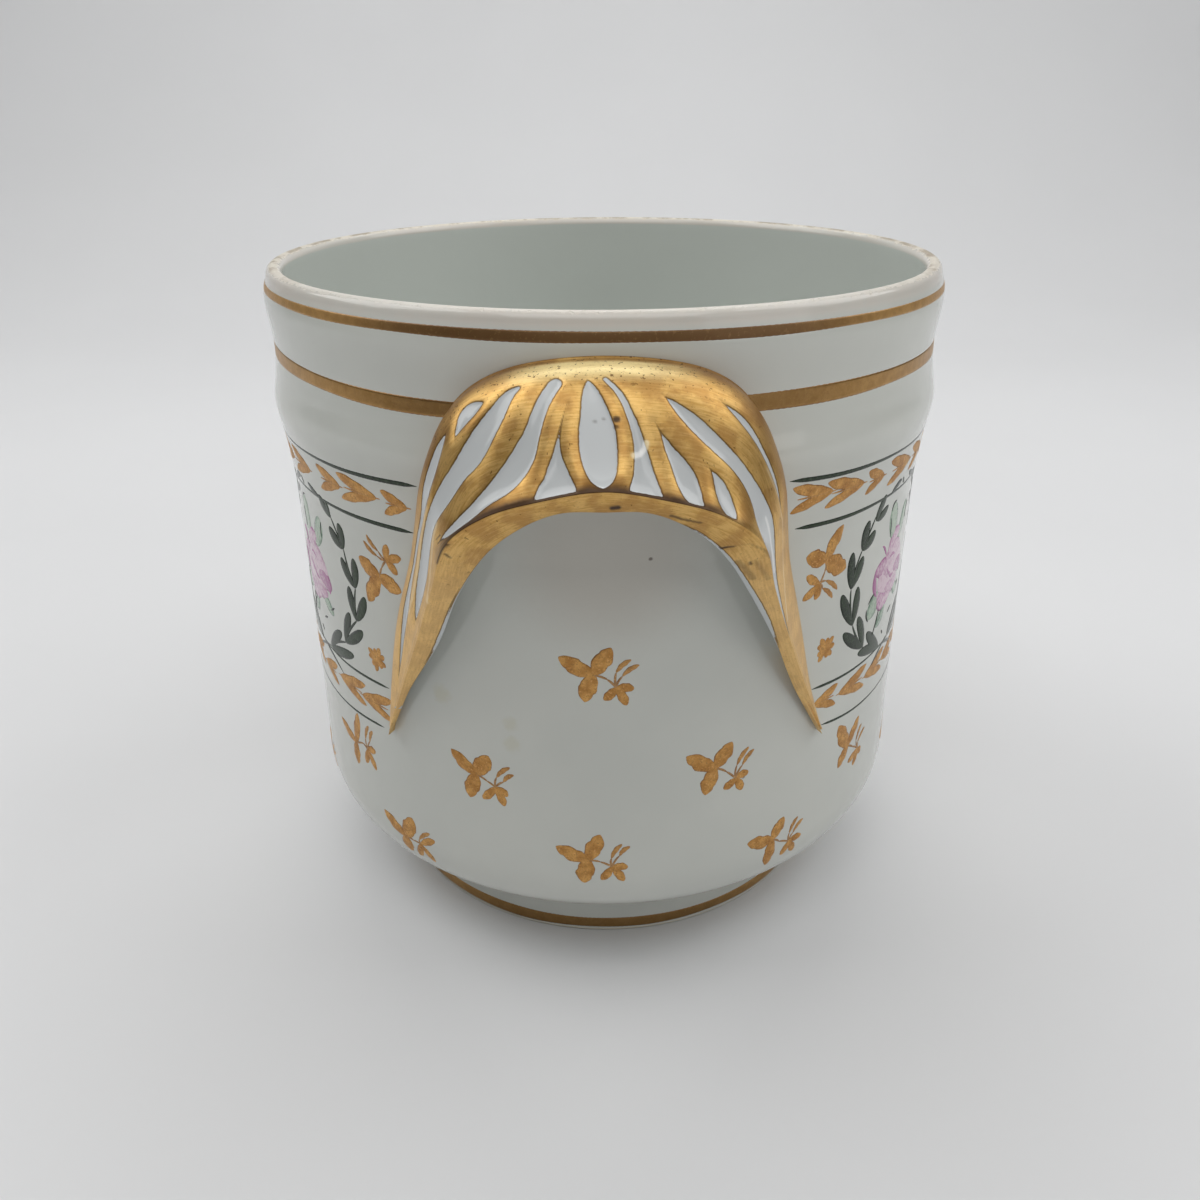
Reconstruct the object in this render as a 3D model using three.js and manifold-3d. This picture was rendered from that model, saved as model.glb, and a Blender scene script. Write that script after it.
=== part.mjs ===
// Porcelain cache pot: an open body with an ogee collar, a foot ring luted under
// it, and two moulded lug handles luted to the shoulder, one in front, one behind.
// Millimetres, +Z up. The origin is on the pot's axis, at the table. The front
// handle stands on the -Y side. Angles round the pot are counted from -Y to +X.

import * as THREE from 'three';
import { mergeVertices } from 'three/addons/utils/BufferGeometryUtils.js';
import Module from 'manifold-3d';

const wasm = await Module();
wasm.setup();

const UP = new THREE.Vector3(0, 0, 1);

// Driving dimensions of the body.
const WALL_RADIUS = 79.0;
const BELLY_RADIUS = 79.4;
const SHOULDER_RADIUS = 81.1;
const COVE_RADIUS = 79.5;
const RIM_RADIUS = 80.4;
const SHOULDER_HEIGHT = 131;
const COVE_HEIGHT = 144.5;
const RIM_HEIGHT = 154;
const LIP_HEIGHT = 159.1;
const LIP_THICKNESS = 3.8;
const WALL_THICKNESS = 4.3;
const BELLY_HEIGHT = 35;
const FLOOR_HEIGHT = 17.5;
const FLOOR_RADIUS = 54;
const BASE_HEIGHT = 12;
const BASE_RADIUS = 61.3;
const BODY_SEGMENTS = 64;

// Driving dimensions of the foot ring.
const FOOT_BOTTOM_RADIUS = 60.0;
const FOOT_TOP_RADIUS = 60.8;
const FOOT_BOTTOM_WIDTH = 4.2;
const FOOT_TOP_WIDTH = 6.4;
const FOOT_EDGE_RADIUS = 0.8;
const RECESS_RISE = 1.4;
const RECESS_RADIUS = 52;

// Width of the slip joint between two luted pieces.
const JOINT_GAP = 0.3;

// The lug handle. Its open front is a plane that leans away from the wall as it
// rises, from FRONT_TIP_REACH at the leg tips to the crown.
const LEG_TIP_HEIGHT = 63.4;
const FRONT_TIP_REACH = 62.4;
const FRONT_LEAN = 0.534;
const LUG_STATIONS = 46;
const LUG_SKIN_STEPS = 8;
const LUG_HOLLOW_STEPS = 4;
const LUG_BACK_STEPS = 5;

// The skin of the lug as shares of its span from root to ridge: how far it leaves
// the wall square on, how far it comes into the ridge, and how much it flares there.
const SKIN_ROOT_PULL = 0.42;
const SKIN_RIDGE_PULL = 0.3;
const CREASE_FLARE = 0.35;
const CROWN_LIFT = 0.04;
const CROWN_SPREAD = 0.32;

// The front face swells by this share of its width. The palm behind it is pulled
// out from the heel by these factors before it curves down to the lip.
const FRONT_SWELL = 0.04;
const PALM_SIDE = 1.04;
const PALM_REACH = 1.07;
const PALM_DROP = 0.02;

// Four rails run along the lug, each as a left and a right half from the leg tip up
// to the crown. Those on the wall are [angle in degrees, height], those on the
// front [side, height].
const ROOT_RAIL = {
  left: [
    [38.9, 63.4], [36.4, 78], [33.1, 95], [28.6, 112],
    [24.9, 128.5], [20.65, 142.6], [12.2, 150.4], [0, 152.8],
  ],
  right: [
    [38.5, 63.4], [34.3, 78], [30.6, 95], [26.9, 112],
    [24.2, 128.5], [20.3, 142.6], [12.4, 150.4], [0, 152.8],
  ],
};
const RIDGE_RAIL = {
  left: [
    [50.0, 63.4], [44.2, 79.5], [38.2, 96.0], [32.9, 111.0],
    [28.6, 123.0], [20.8, 129.9], [10.6, 133.6], [0, 135.6],
  ],
  right: [
    [50.0, 63.4], [43.6, 79.5], [37.4, 96.0], [32.2, 111.0],
    [28.4, 123.0], [20.8, 129.9], [10.6, 133.6], [0, 135.6],
  ],
};
const LIP_HALF = [
  [49.1, 63.4], [42.0, 79.0], [34.5, 95.4], [27.5, 109.6],
  [21.2, 120.4], [14.6, 126.9], [7.6, 130.4], [0, 130.6],
];
const LIP_RAIL = { left: LIP_HALF, right: LIP_HALF };
const HEEL_RAIL = {
  left: [
    [38.2, 63.4], [34.3, 80], [29.0, 96], [24.2, 110],
    [19.4, 122], [14.0, 134], [7.5, 142.5], [0, 146],
  ],
  right: [
    [38.1, 63.4], [32.0, 80], [27.3, 96], [23.2, 110],
    [19.0, 122], [14.0, 134], [7.5, 142.5], [0, 146],
  ],
};

// Leaf-shaped hollows pressed into the skin of the lug. A vein point is [along,
// out, half width]: along runs from -1 at the left tip to 1 at the right one, out
// from 0 at the root to 1 at the ridge, and the half width is in millimetres.
const HOLLOW_DEPTH = 1.0;
const HOLLOW_TIP_WIDTH = 0.12;
const HOLLOW_CORNERS = 6;
const HOLLOWS = {
  leftSlit: [
    [-0.286, 0.31, 0], [-0.33, 0.352, 1.35], [-0.4, 0.405, 1.55],
    [-0.455, 0.452, 0.7], [-0.52, 0.42, 0.65], [-0.585, 0.415, 0.55],
    [-0.66, 0.465, 1.05], [-0.74, 0.535, 0.55], [-0.835, 0.63, 0],
  ],
  leftShoulder: [
    [-0.186, 0.277, 0], [-0.213, 0.288, 1.4], [-0.232, 0.305, 1.6],
    [-0.252, 0.352, 0.8], [-0.272, 0.397, 0],
  ],
  leftSweep: [
    [-0.115, 0.245, 0], [-0.138, 0.287, 1], [-0.18, 0.415, 1.9],
    [-0.245, 0.545, 2.5], [-0.3, 0.595, 2.05], [-0.36, 0.617, 2.15],
    [-0.43, 0.617, 1.7], [-0.51, 0.63, 1.95], [-0.58, 0.655, 1.9],
    [-0.63, 0.695, 1.2], [-0.677, 0.753, 0],
  ],
  leftLeaf: [
    [-0.068, 0.25, 0.8], [-0.092, 0.405, 1.1], [-0.119, 0.553, 1.4],
    [-0.156, 0.686, 2.2], [-0.209, 0.793, 2.2], [-0.27, 0.859, 1.5],
    [-0.333, 0.905, 1.3], [-0.395, 0.905, 0.8], [-0.445, 0.85, 0],
  ],
  leftWedge: [
    [-0.055, 0.418, 0], [-0.077, 0.605, 0.25], [-0.087, 0.699, 0.65],
    [-0.095, 0.793, 1.6], [-0.102, 0.892, 2.6], [-0.11, 0.975, 3.7],
  ],
  teardrop: [
    [-0.023, 0.245, 0], [-0.019, 0.364, 1.45], [-0.015, 0.485, 2.35],
    [-0.012, 0.606, 3.1], [-0.010, 0.731, 3.1], [-0.005, 0.86, 2.25],
    [-0.002, 0.968, 0],
  ],
  rightWedge: [
    [0.002, 0.25, 0.4], [0.022, 0.357, 0.5], [0.038, 0.477, 0.6],
    [0.054, 0.598, 0.8], [0.069, 0.722, 1.2], [0.083, 0.853, 1.9],
    [0.093, 0.975, 2.9],
  ],
  rightLeaf: [
    [0.079, 0.519, 0], [0.098, 0.596, 0.25], [0.119, 0.67, 0.8],
    [0.145, 0.738, 1.4], [0.171, 0.814, 1.9], [0.195, 0.903, 1.75],
    [0.215, 0.975, 1.0],
  ],
  rightBud: [
    [0.208, 0.706, 0], [0.228, 0.739, 0.4], [0.247, 0.781, 1.0],
    [0.264, 0.83, 1.4], [0.281, 0.884, 1.55], [0.299, 0.941, 1.3],
    [0.31, 0.985, 0.4],
  ],
  rightSweep: [
    [0.084, 0.35, 0], [0.119, 0.438, 1], [0.16, 0.508, 1.4],
    [0.21, 0.57, 1.35], [0.27, 0.62, 1.3], [0.32, 0.66, 1.45],
    [0.365, 0.705, 2.05], [0.41, 0.775, 3], [0.45, 0.835, 3.2],
    [0.5, 0.865, 2.3], [0.56, 0.885, 1.6], [0.62, 0.92, 1],
    [0.71, 0.973, 0],
  ],
  rightSlit: [
    [0.179, 0.297, 0], [0.21, 0.325, 0.4], [0.25, 0.358, 0.72],
    [0.31, 0.408, 0.5], [0.37, 0.432, 0.45], [0.44, 0.49, 0],
  ],
};

const glazedPorcelain = { roughness: 0.12, metalness: 0 };
const burnishedGold = { roughness: 0.3, metalness: 1 };

function vector2(list) {
  return list.map(([x, y]) => new THREE.Vector2(x, y));
}

// Points of a smooth curve through the given ones, with a number of steps a span.
function throughPoints(list, stepsPerSpan) {
  return new THREE.SplineCurve(vector2(list)).getPoints((list.length - 1) * stepsPerSpan);
}

function roundedCorner(start, startPull, endPull, end, steps) {
  return new THREE.CubicBezierCurve(...vector2([start, startPull, endPull, end])).getPoints(steps);
}

// The collar's ogee above the straight wall: shoulder, cove and rolled rim.
const COLLAR = [
  [WALL_RADIUS - 0.2, SHOULDER_HEIGHT - 19],
  [WALL_RADIUS + 0.8, SHOULDER_HEIGHT - 8],
  [SHOULDER_RADIUS, SHOULDER_HEIGHT],
  [(SHOULDER_RADIUS + COVE_RADIUS) / 2 - 0.2, (SHOULDER_HEIGHT + COVE_HEIGHT) / 2],
  [COVE_RADIUS, COVE_HEIGHT],
  [RIM_RADIUS, RIM_HEIGHT],
  [RIM_RADIUS - 1.0, LIP_HEIGHT],
];

function outerWall() {
  const base = roundedCorner(
    [BASE_RADIUS, BASE_HEIGHT],
    [BASE_RADIUS + 8.2, BASE_HEIGHT + 6.2],
    [BELLY_RADIUS - 0.2, BELLY_HEIGHT - 12.5],
    [BELLY_RADIUS, BELLY_HEIGHT],
    7,
  );
  const wall = vector2([[WALL_RADIUS, 58], [WALL_RADIUS - 0.2, 85]]);
  return [...base, ...wall, ...throughPoints(COLLAR, 2)];
}

function lipRoll() {
  const radius = LIP_THICKNESS / 2;
  const centre = RIM_RADIUS - 1.0 - radius;
  const roll = new THREE.EllipseCurve(centre, LIP_HEIGHT, radius, radius, 0, Math.PI);
  return roll.getPoints(6).slice(1, -1);
}

function innerWall() {
  const top = RIM_RADIUS - 1.0 - LIP_THICKNESS;
  const wall = WALL_RADIUS - WALL_THICKNESS;
  const side = throughPoints([
    [top, LIP_HEIGHT],
    [SHOULDER_RADIUS - WALL_THICKNESS - 0.5, SHOULDER_HEIGHT + 2],
    [wall, SHOULDER_HEIGHT - 20],
    [wall, BELLY_HEIGHT + 4],
  ], 3);
  const corner = roundedCorner(
    [wall, BELLY_HEIGHT + 4], [wall, BELLY_HEIGHT - 10],
    [FLOOR_RADIUS + 12, FLOOR_HEIGHT], [FLOOR_RADIUS, FLOOR_HEIGHT],
    6,
  );
  return [...side, ...corner.slice(1), new THREE.Vector2(0, FLOOR_HEIGHT)];
}

function bodyProfile() {
  const underside = vector2([
    [0, BASE_HEIGHT + RECESS_RISE],
    [RECESS_RADIUS - 6, BASE_HEIGHT + RECESS_RISE - 0.3],
    [RECESS_RADIUS, BASE_HEIGHT],
  ]);
  return [...underside, ...outerWall(), ...lipRoll(), ...innerWall()];
}

function footProfile() {
  const top = BASE_HEIGHT - JOINT_GAP;
  const edge = FOOT_EDGE_RADIUS;
  const inner = FOOT_BOTTOM_RADIUS - FOOT_BOTTOM_WIDTH;
  return vector2([
    [inner + edge, 0],
    [FOOT_BOTTOM_RADIUS - edge, 0],
    [FOOT_BOTTOM_RADIUS - edge * 0.3, edge * 0.3],
    [FOOT_BOTTOM_RADIUS, edge],
    [FOOT_BOTTOM_RADIUS + 0.2, top * 0.6],
    [FOOT_TOP_RADIUS, top],
    [FOOT_TOP_RADIUS - FOOT_TOP_WIDTH, top],
    [inner, edge],
    [inner + edge * 0.3, edge * 0.3],
    [inner + edge, 0],
  ]);
}

function revolve(profile, segments) {
  return new THREE.LatheGeometry(profile, segments).rotateX(Math.PI / 2);
}

// Outer radius of the body at a height, read from the outline that is revolved.
const WALL_OUTLINE = outerWall();
function wallRadius(height) {
  for (let i = 1; i < WALL_OUTLINE.length; i += 1) {
    const [low, high] = [WALL_OUTLINE[i - 1], WALL_OUTLINE[i]];
    if (height <= high.y && high.y > low.y) {
      return THREE.MathUtils.mapLinear(height, low.y, high.y, low.x, high.x);
    }
  }
  return WALL_OUTLINE[WALL_OUTLINE.length - 1].x;
}

function onWall(degrees, height) {
  const angle = THREE.MathUtils.degToRad(degrees);
  const radius = wallRadius(height) + JOINT_GAP;
  return new THREE.Vector3(radius * Math.sin(angle), -radius * Math.cos(angle), height);
}

function onFront(side, height) {
  return new THREE.Vector3(side, -FRONT_TIP_REACH - FRONT_LEAN * (height - LEG_TIP_HEIGHT), height);
}

// A rail as one curve from the left tip, over the crown, to the right tip. The
// halves meet at the crown, which only the left one keeps.
function smoothRail(rail) {
  const left = rail.left.map(([side, height]) => [-side, height]);
  const right = rail.right.slice(0, -1).reverse();
  const curve = new THREE.SplineCurve(vector2([...left, ...right]));
  return (along) => {
    const point = curve.getPoint((along + 1) / 2);
    return [point.x, point.y];
  };
}

const rootRail = smoothRail(ROOT_RAIL);
const ridgeRail = smoothRail(RIDGE_RAIL);
const lipRail = smoothRail(LIP_RAIL);
const heelRail = smoothRail(HEEL_RAIL);

// The lug's skin crosses from root to ridge as a curve that leaves the wall
// square to it, domes over, and flares out again just above the ridge.
function skinCurve(along) {
  const root = onWall(...rootRail(along));
  const ridge = onFront(...ridgeRail(along));
  const span = root.distanceTo(ridge);
  const outward = new THREE.Vector3(root.x, root.y, 0).normalize();
  const crowning = Math.exp(-((along / CROWN_SPREAD) ** 2));
  const rootPull = root.clone()
    .addScaledVector(outward, SKIN_ROOT_PULL * span)
    .addScaledVector(UP, CROWN_LIFT * span * crowning);
  const straight = ridge.clone().sub(root).normalize();
  const flare = straight.addScaledVector(outward, CREASE_FLARE).normalize();
  const ridgePull = ridge.clone().addScaledVector(flare, -SKIN_RIDGE_PULL * span);
  return new THREE.CubicBezierCurve3(root, rootPull, ridgePull, ridge);
}

// One closed section of the lug: skin, front face, hollow underside and the back
// that lies along the wall.
function lugSection(along) {
  const skin = skinCurve(along).getPoints(LUG_SKIN_STEPS);
  const ridge = skin[LUG_SKIN_STEPS];
  const lip = onFront(...lipRail(along));
  const [rootAngle, rootHeight] = rootRail(along);
  const [heelAngle, heelHeight] = heelRail(along);
  const heel = onWall(heelAngle, heelHeight);
  const front = ridge.clone().lerp(lip, 0.5);
  front.y -= FRONT_SWELL * ridge.distanceTo(lip);
  const drop = PALM_DROP * heel.distanceTo(lip);
  const palm = new THREE.Vector3(heel.x * PALM_SIDE, heel.y * PALM_REACH, heel.z - drop);
  const hollow = new THREE.QuadraticBezierCurve3(lip, palm, heel).getPoints(LUG_HOLLOW_STEPS);
  const back = [];
  for (let i = 1; i < LUG_BACK_STEPS; i += 1) {
    const share = i / LUG_BACK_STEPS;
    const angle = THREE.MathUtils.lerp(heelAngle, rootAngle, share);
    back.push(onWall(angle, THREE.MathUtils.lerp(heelHeight, rootHeight, share)));
  }
  return [...skin, front, ...hollow, ...back];
}

// A closed solid skinned over rings of points, with a flat fan at each end.
function loft(rings) {
  const size = rings[0].length;
  const positions = rings.flat().flatMap((point) => [point.x, point.y, point.z]);
  const faces = [];
  for (let ring = 0; ring < rings.length - 1; ring += 1) {
    for (let i = 0; i < size; i += 1) {
      const next = (i + 1) % size;
      const [a, b] = [ring * size + i, ring * size + next];
      faces.push(a, b, b + size, a, b + size, a + size);
    }
  }
  const last = (rings.length - 1) * size;
  for (let i = 1; i < size - 1; i += 1) {
    faces.push(0, i + 1, i, last, last + i, last + i + 1);
  }
  const geometry = new THREE.BufferGeometry();
  geometry.setAttribute('position', new THREE.Float32BufferAttribute(positions, 3));
  geometry.setIndex(faces);
  return geometry;
}

function lugBlank() {
  const rings = [];
  for (let i = 0; i <= LUG_STATIONS; i += 1) {
    rings.push(lugSection((2 * i) / LUG_STATIONS - 1));
  }
  return loft(rings);
}

function onSkin(point) {
  return skinCurve(point.x).getPoint(point.y);
}

// The direction square to the skin at a vein point, by small steps along and out.
function skinOutward(point) {
  const step = new THREE.Vector2(0.01, 0);
  const sideways = onSkin(point.clone().add(step)).sub(onSkin(point.clone().sub(step)));
  const down = skinCurve(point.x).getTangent(point.y);
  return new THREE.Vector3().crossVectors(down, sideways).normalize();
}

// The pressing tool for one leaf-shaped hollow: a slim spindle along its vein.
function hollowTool(vein) {
  const line = vein.map(([along, out]) => new THREE.Vector2(along, out));
  const rings = vein.map(([, , halfWidth], i) => {
    const centre = onSkin(line[i]);
    const before = onSkin(line[Math.max(i - 1, 0)]);
    const after = onSkin(line[Math.min(i + 1, line.length - 1)]);
    const outward = skinOutward(line[i]);
    const side = new THREE.Vector3().crossVectors(outward, after.sub(before)).normalize();
    const reach = Math.max(halfWidth, HOLLOW_TIP_WIDTH);
    const depth = Math.min(HOLLOW_DEPTH, reach);
    const ring = [];
    for (let corner = 0; corner < HOLLOW_CORNERS; corner += 1) {
      const angle = (corner * 2 * Math.PI) / HOLLOW_CORNERS;
      ring.push(centre.clone()
        .addScaledVector(side, reach * Math.cos(angle))
        .addScaledVector(outward, depth * Math.sin(angle)));
    }
    return ring;
  });
  return loft(rings);
}

function toSolid(geometry) {
  const bare = geometry.clone();
  bare.deleteAttribute('normal');
  bare.deleteAttribute('uv');
  const merged = mergeVertices(bare, 1e-4);
  return new wasm.Manifold(new wasm.Mesh({
    numProp: 3,
    vertProperties: merged.attributes.position.array,
    triVerts: merged.index.array,
  }));
}

function toGeometry(solid) {
  const mesh = solid.getMesh();
  const geometry = new THREE.BufferGeometry();
  geometry.setAttribute('position', new THREE.BufferAttribute(mesh.vertProperties, 3));
  geometry.setIndex(new THREE.BufferAttribute(mesh.triVerts, 1));
  geometry.computeVertexNormals();
  return geometry;
}

function lugGeometry() {
  let solid = toSolid(lugBlank());
  for (const vein of Object.values(HOLLOWS)) {
    solid = solid.subtract(toSolid(hollowTool(vein)));
  }
  return toGeometry(solid);
}

function piece(name, geometry, color, finish) {
  const mesh = new THREE.Mesh(geometry, new THREE.MeshStandardMaterial({ color, ...finish }));
  mesh.name = name;
  return mesh;
}

const group = new THREE.Group();
group.add(piece('pot_body', revolve(bodyProfile(), BODY_SEGMENTS), 0xe9ecea, glazedPorcelain));
group.add(piece('foot_ring', revolve(footProfile(), BODY_SEGMENTS), 0xe9ecea, glazedPorcelain));

const lug = lugGeometry();
group.add(piece('front_handle', lug, 0xb8842f, burnishedGold));
const rear = piece('rear_handle', lug.clone(), 0xb8842f, burnishedGold);
rear.rotation.z = Math.PI;
group.add(rear);

export default group;
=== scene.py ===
"""Looks of a porcelain cache pot: glazed body, foot ring, gilt lug handles, enamel borders.

Sizes are millimetres on the pot, +Z up, and become metres when a mesh is made.
Angles go round the pot in degrees, from the front (-Y) towards the right (+X).
"""

import logging
import math
from collections.abc import Iterable, Sequence
from dataclasses import dataclass, field, replace
from enum import Enum
from functools import cached_property, reduce

import bmesh
import bpy
import numpy as np
from mathutils import Matrix, Vector


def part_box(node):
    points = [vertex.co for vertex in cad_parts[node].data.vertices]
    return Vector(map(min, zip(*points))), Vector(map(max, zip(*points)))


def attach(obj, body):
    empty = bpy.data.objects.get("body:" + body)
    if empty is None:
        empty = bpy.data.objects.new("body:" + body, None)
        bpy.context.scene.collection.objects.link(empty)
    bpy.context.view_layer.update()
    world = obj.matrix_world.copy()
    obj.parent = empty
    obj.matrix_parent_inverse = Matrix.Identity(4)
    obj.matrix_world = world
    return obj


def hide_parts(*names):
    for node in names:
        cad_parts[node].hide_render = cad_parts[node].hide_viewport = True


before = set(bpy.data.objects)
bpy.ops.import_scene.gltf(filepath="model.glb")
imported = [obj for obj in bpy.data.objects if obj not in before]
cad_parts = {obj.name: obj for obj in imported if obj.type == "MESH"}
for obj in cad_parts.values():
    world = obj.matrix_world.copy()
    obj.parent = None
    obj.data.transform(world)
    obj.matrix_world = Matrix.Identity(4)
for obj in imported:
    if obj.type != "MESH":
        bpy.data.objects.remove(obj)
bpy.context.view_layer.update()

log = logging.getLogger("cache_pot")
MM = 0.001
HALF_TURNS = (0.0, 180.0)
SIDES = tuple(zip(("right", "left"), HALF_TURNS))
WREATH_ANGLES = (60.0, 120.0, 240.0, 300.0)
WREATH_HEIGHT = 95.0
Array = np.ndarray
Spot = tuple[float, float]
Span = tuple[float, float]
Window = tuple[float, float, float, float]
Blot = tuple[float, float, float, float]
Point = tuple[float, float, float]
Colour = tuple[float, float, float]


class Slot(Enum):
    """Names of the record's material slots, one for each kind of finish."""

    GLAZED = "glazed_porcelain"
    GILT = "gilt_porcelain"
    GOLD = "gold_enamel"
    GREEN = "green_enamel"
    ROSE = "rose_enamel"
    LEAF = "leaf_enamel"


def catmull_rom(points: Array, place: Array) -> Array:
    """Reads a smooth curve that passes through points.

    Args:
        points: The points passed through, one a row.
        place: Places along the curve, from 0 at its start to 1 at its end.

    Returns:
        One point for each place.
    """
    last = len(points) - 1
    at = np.clip(place, 0, 1) * last
    i = np.minimum(at.astype(int), last - 1)
    t = (at - i)[..., None]
    before, low = points[np.maximum(i - 1, 0)], points[i]
    high, after = points[i + 1], points[np.minimum(i + 2, last)]
    rising, falling = (high - before) / 2, (after - low) / 2
    return (
        (2 * t**3 - 3 * t**2 + 1) * low + (t**3 - 2 * t**2 + t) * rising
        + (3 * t**2 - 2 * t**3) * high + (t**3 - t**2) * falling
    )


def bezier(controls: Sequence[Array], share: Array) -> Array:
    """Reads a Bezier curve.

    Args:
        controls: Its control points, or arrays of them, one a row.
        share: Places along it, from 0 to 1.

    Returns:
        One point for each place.
    """
    layer = [np.asarray(control, float) for control in controls]
    t = share[..., None]
    while len(layer) > 1:
        layer = [a * (1 - t) + b * t for a, b in zip(layer, layer[1:])]
    return layer[0]


def ease(low: float, high: float, x: Array) -> Array:
    """Rises smoothly from 0 where x is low to 1 where x is high."""
    t = np.clip((x - low) / (high - low), 0, 1)
    return t * t * (3 - 2 * t)


def unit(vectors: Array) -> Array:
    """Vectors of length one, along the last axis."""
    return vectors / np.maximum(np.linalg.norm(vectors, axis=-1, keepdims=True), 1e-9)


def length(vectors: Array) -> Array:
    """Lengths of vectors, with the last axis kept."""
    return np.linalg.norm(vectors, axis=-1, keepdims=True)


def run_lengths(points: Array) -> Array:
    """Distance run along each row of points, from its first one."""
    steps = np.linalg.norm(np.diff(points, axis=-2), axis=-1)
    return np.concatenate([np.zeros_like(steps[..., :1]), np.cumsum(steps, -1)], -1)


def line_gap(points: Array, line: Array, half_widths: Array) -> Array:
    """Distance from points to the edge of a line.

    Args:
        points: The points.
        line: The line's knots, one a row.
        half_widths: Half its width at each knot.

    Returns:
        Millimetres, below zero inside the line.
    """
    nearest = np.full(points.shape[:-1], np.inf)
    for a, b, wide_a, wide_b in zip(line, line[1:], half_widths, half_widths[1:]):
        step = b - a
        share = np.clip(((points - a) @ step) / (step @ step), 0, 1)
        gap = np.linalg.norm(points - a - share[..., None] * step, axis=-1)
        nearest = np.minimum(nearest, gap - wide_a - share * (wide_b - wide_a))
    return nearest


def grid_faces(rows: int, columns: int, first: int = 0, round_rows: bool = False,
               round_columns: bool = False) -> list[list[int]]:
    """Four-sided faces over a grid of vertices that is numbered row by row.

    Args:
        rows: Rows of vertices.
        columns: Vertices in a row.
        first: Number of the grid's first vertex.
        round_rows: Whether the last row joins the first.
        round_columns: Whether the last column joins the first.

    Returns:
        The vertex numbers of each face.
    """
    row = np.arange(rows if round_rows else rows - 1)[:, None]
    column = np.arange(columns if round_columns else columns - 1)[None, :]
    next_row, next_column = (row + 1) % rows, (column + 1) % columns
    corners = [
        row * columns + column, row * columns + next_column,
        next_row * columns + next_column, next_row * columns + column,
    ]
    return (np.stack(corners, -1).reshape(-1, 4) + first).tolist()


@dataclass
class MeshWork:
    """Vertices, faces and vertex values of one piece, gathered patch by patch."""

    points: list[Array] = field(default_factory=list)
    faces: list[list[int]] = field(default_factory=list)
    values: dict[str, list[Array]] = field(default_factory=dict)
    count: int = 0

    def add(self, points: Array, faces: list[list[int]], **values: Array) -> None:
        """Adds one patch.

        Args:
            points: Its vertices in millimetres, in any array shape that ends in 3.
            faces: Its faces, numbered from its own first vertex.
            values: Numbers on its vertices, by name.
        """
        flat = points.reshape(-1, 3)
        self.points.append(flat)
        self.faces += [[self.count + corner for corner in face] for face in faces]
        for name, numbers in values.items():
            self.values.setdefault(name, []).append(np.asarray(numbers, float).ravel())
        self.count += len(flat)

    def piece(self, name: str, material: bpy.types.Material, slot: Slot,
              replaces: str = "") -> bpy.types.Object:
        """Turns what was gathered into a smooth piece that rides on the pot.

        Args:
            name: The piece's name.
            material: Its finish.
            slot: The record's slot that the finish belongs to; not used.
            replaces: The CAD node that the piece stands for, if any.

        Returns:
            The new object.
        """
        mesh = bpy.data.meshes.new(name)
        mesh.from_pydata((np.concatenate(self.points) * MM).tolist(), [], self.faces)
        for key, numbers in self.values.items():
            layer = mesh.attributes.new(key, "FLOAT", "POINT")
            layer.data.foreach_set("value", np.concatenate(numbers).astype(np.float32))
        work = bmesh.new()
        work.from_mesh(mesh)
        bmesh.ops.recalc_face_normals(work, faces=work.faces)
        work.to_mesh(mesh)
        work.free()
        mesh.shade_smooth()
        mesh.materials.append(material)
        made = bpy.data.objects.new(name, mesh)
        bpy.context.scene.collection.objects.link(made)
        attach(made, "root")
        if replaces:
            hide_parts(replaces)
        log.info("%s: %d faces", name, len(mesh.polygons))
        return made


class Value:
    """A number or colour inside a material, with the operators that add its nodes."""

    def __init__(self, graph: "Graph", socket: bpy.types.NodeSocket) -> None:
        """Wraps an output socket of a graph's node."""
        self.graph = graph
        self.socket = socket

    def math(self, operation: str, *others: "Value | float", swap: bool = False) -> "Value":
        """Adds a Math node.

        Args:
            operation: The node's operation.
            others: What goes into its other sockets.
            swap: Whether this value goes in last.

        Returns:
            The node's result.
        """
        terms = (*others, self) if swap else (self, *others)
        names = ("Value", "Value_001", "Value_002")
        return self.graph.node("ShaderNodeMath", {"operation": operation}, dict(zip(names, terms)))

    def __add__(self, other: "Value | float") -> "Value":
        """Sum of two values."""
        return self.math("ADD", other)

    __radd__ = __add__

    def __sub__(self, other: "Value | float") -> "Value":
        """This value less another."""
        return self.math("SUBTRACT", other)

    def __rsub__(self, other: float) -> "Value":
        """A number less this value."""
        return self.math("SUBTRACT", other, swap=True)

    def __mul__(self, other: "Value | float") -> "Value":
        """Product of two values."""
        return self.math("MULTIPLY", other)

    __rmul__ = __mul__

    def at_least(self, other: "Value | float") -> "Value":
        """The larger of two values."""
        return self.math("MAXIMUM", other)

    def at_most(self, other: "Value | float") -> "Value":
        """The smaller of two values."""
        return self.math("MINIMUM", other)

    def between(self, low: float, high: float) -> "Value":
        """Rises smoothly from 0 where this value is low to 1 where it is high."""
        return self.graph.node(
            "ShaderNodeMapRange", {"interpolation_type": "SMOOTHSTEP"},
            {"Value": self, "From Min": low, "From Max": high},
        )

    def within(self, window: Window) -> "Value":
        """Rises over a window's first two numbers and falls again over its last two."""
        start, full, fading, end = window
        return self.between(start, full) * self.between(end, fading)


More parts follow.
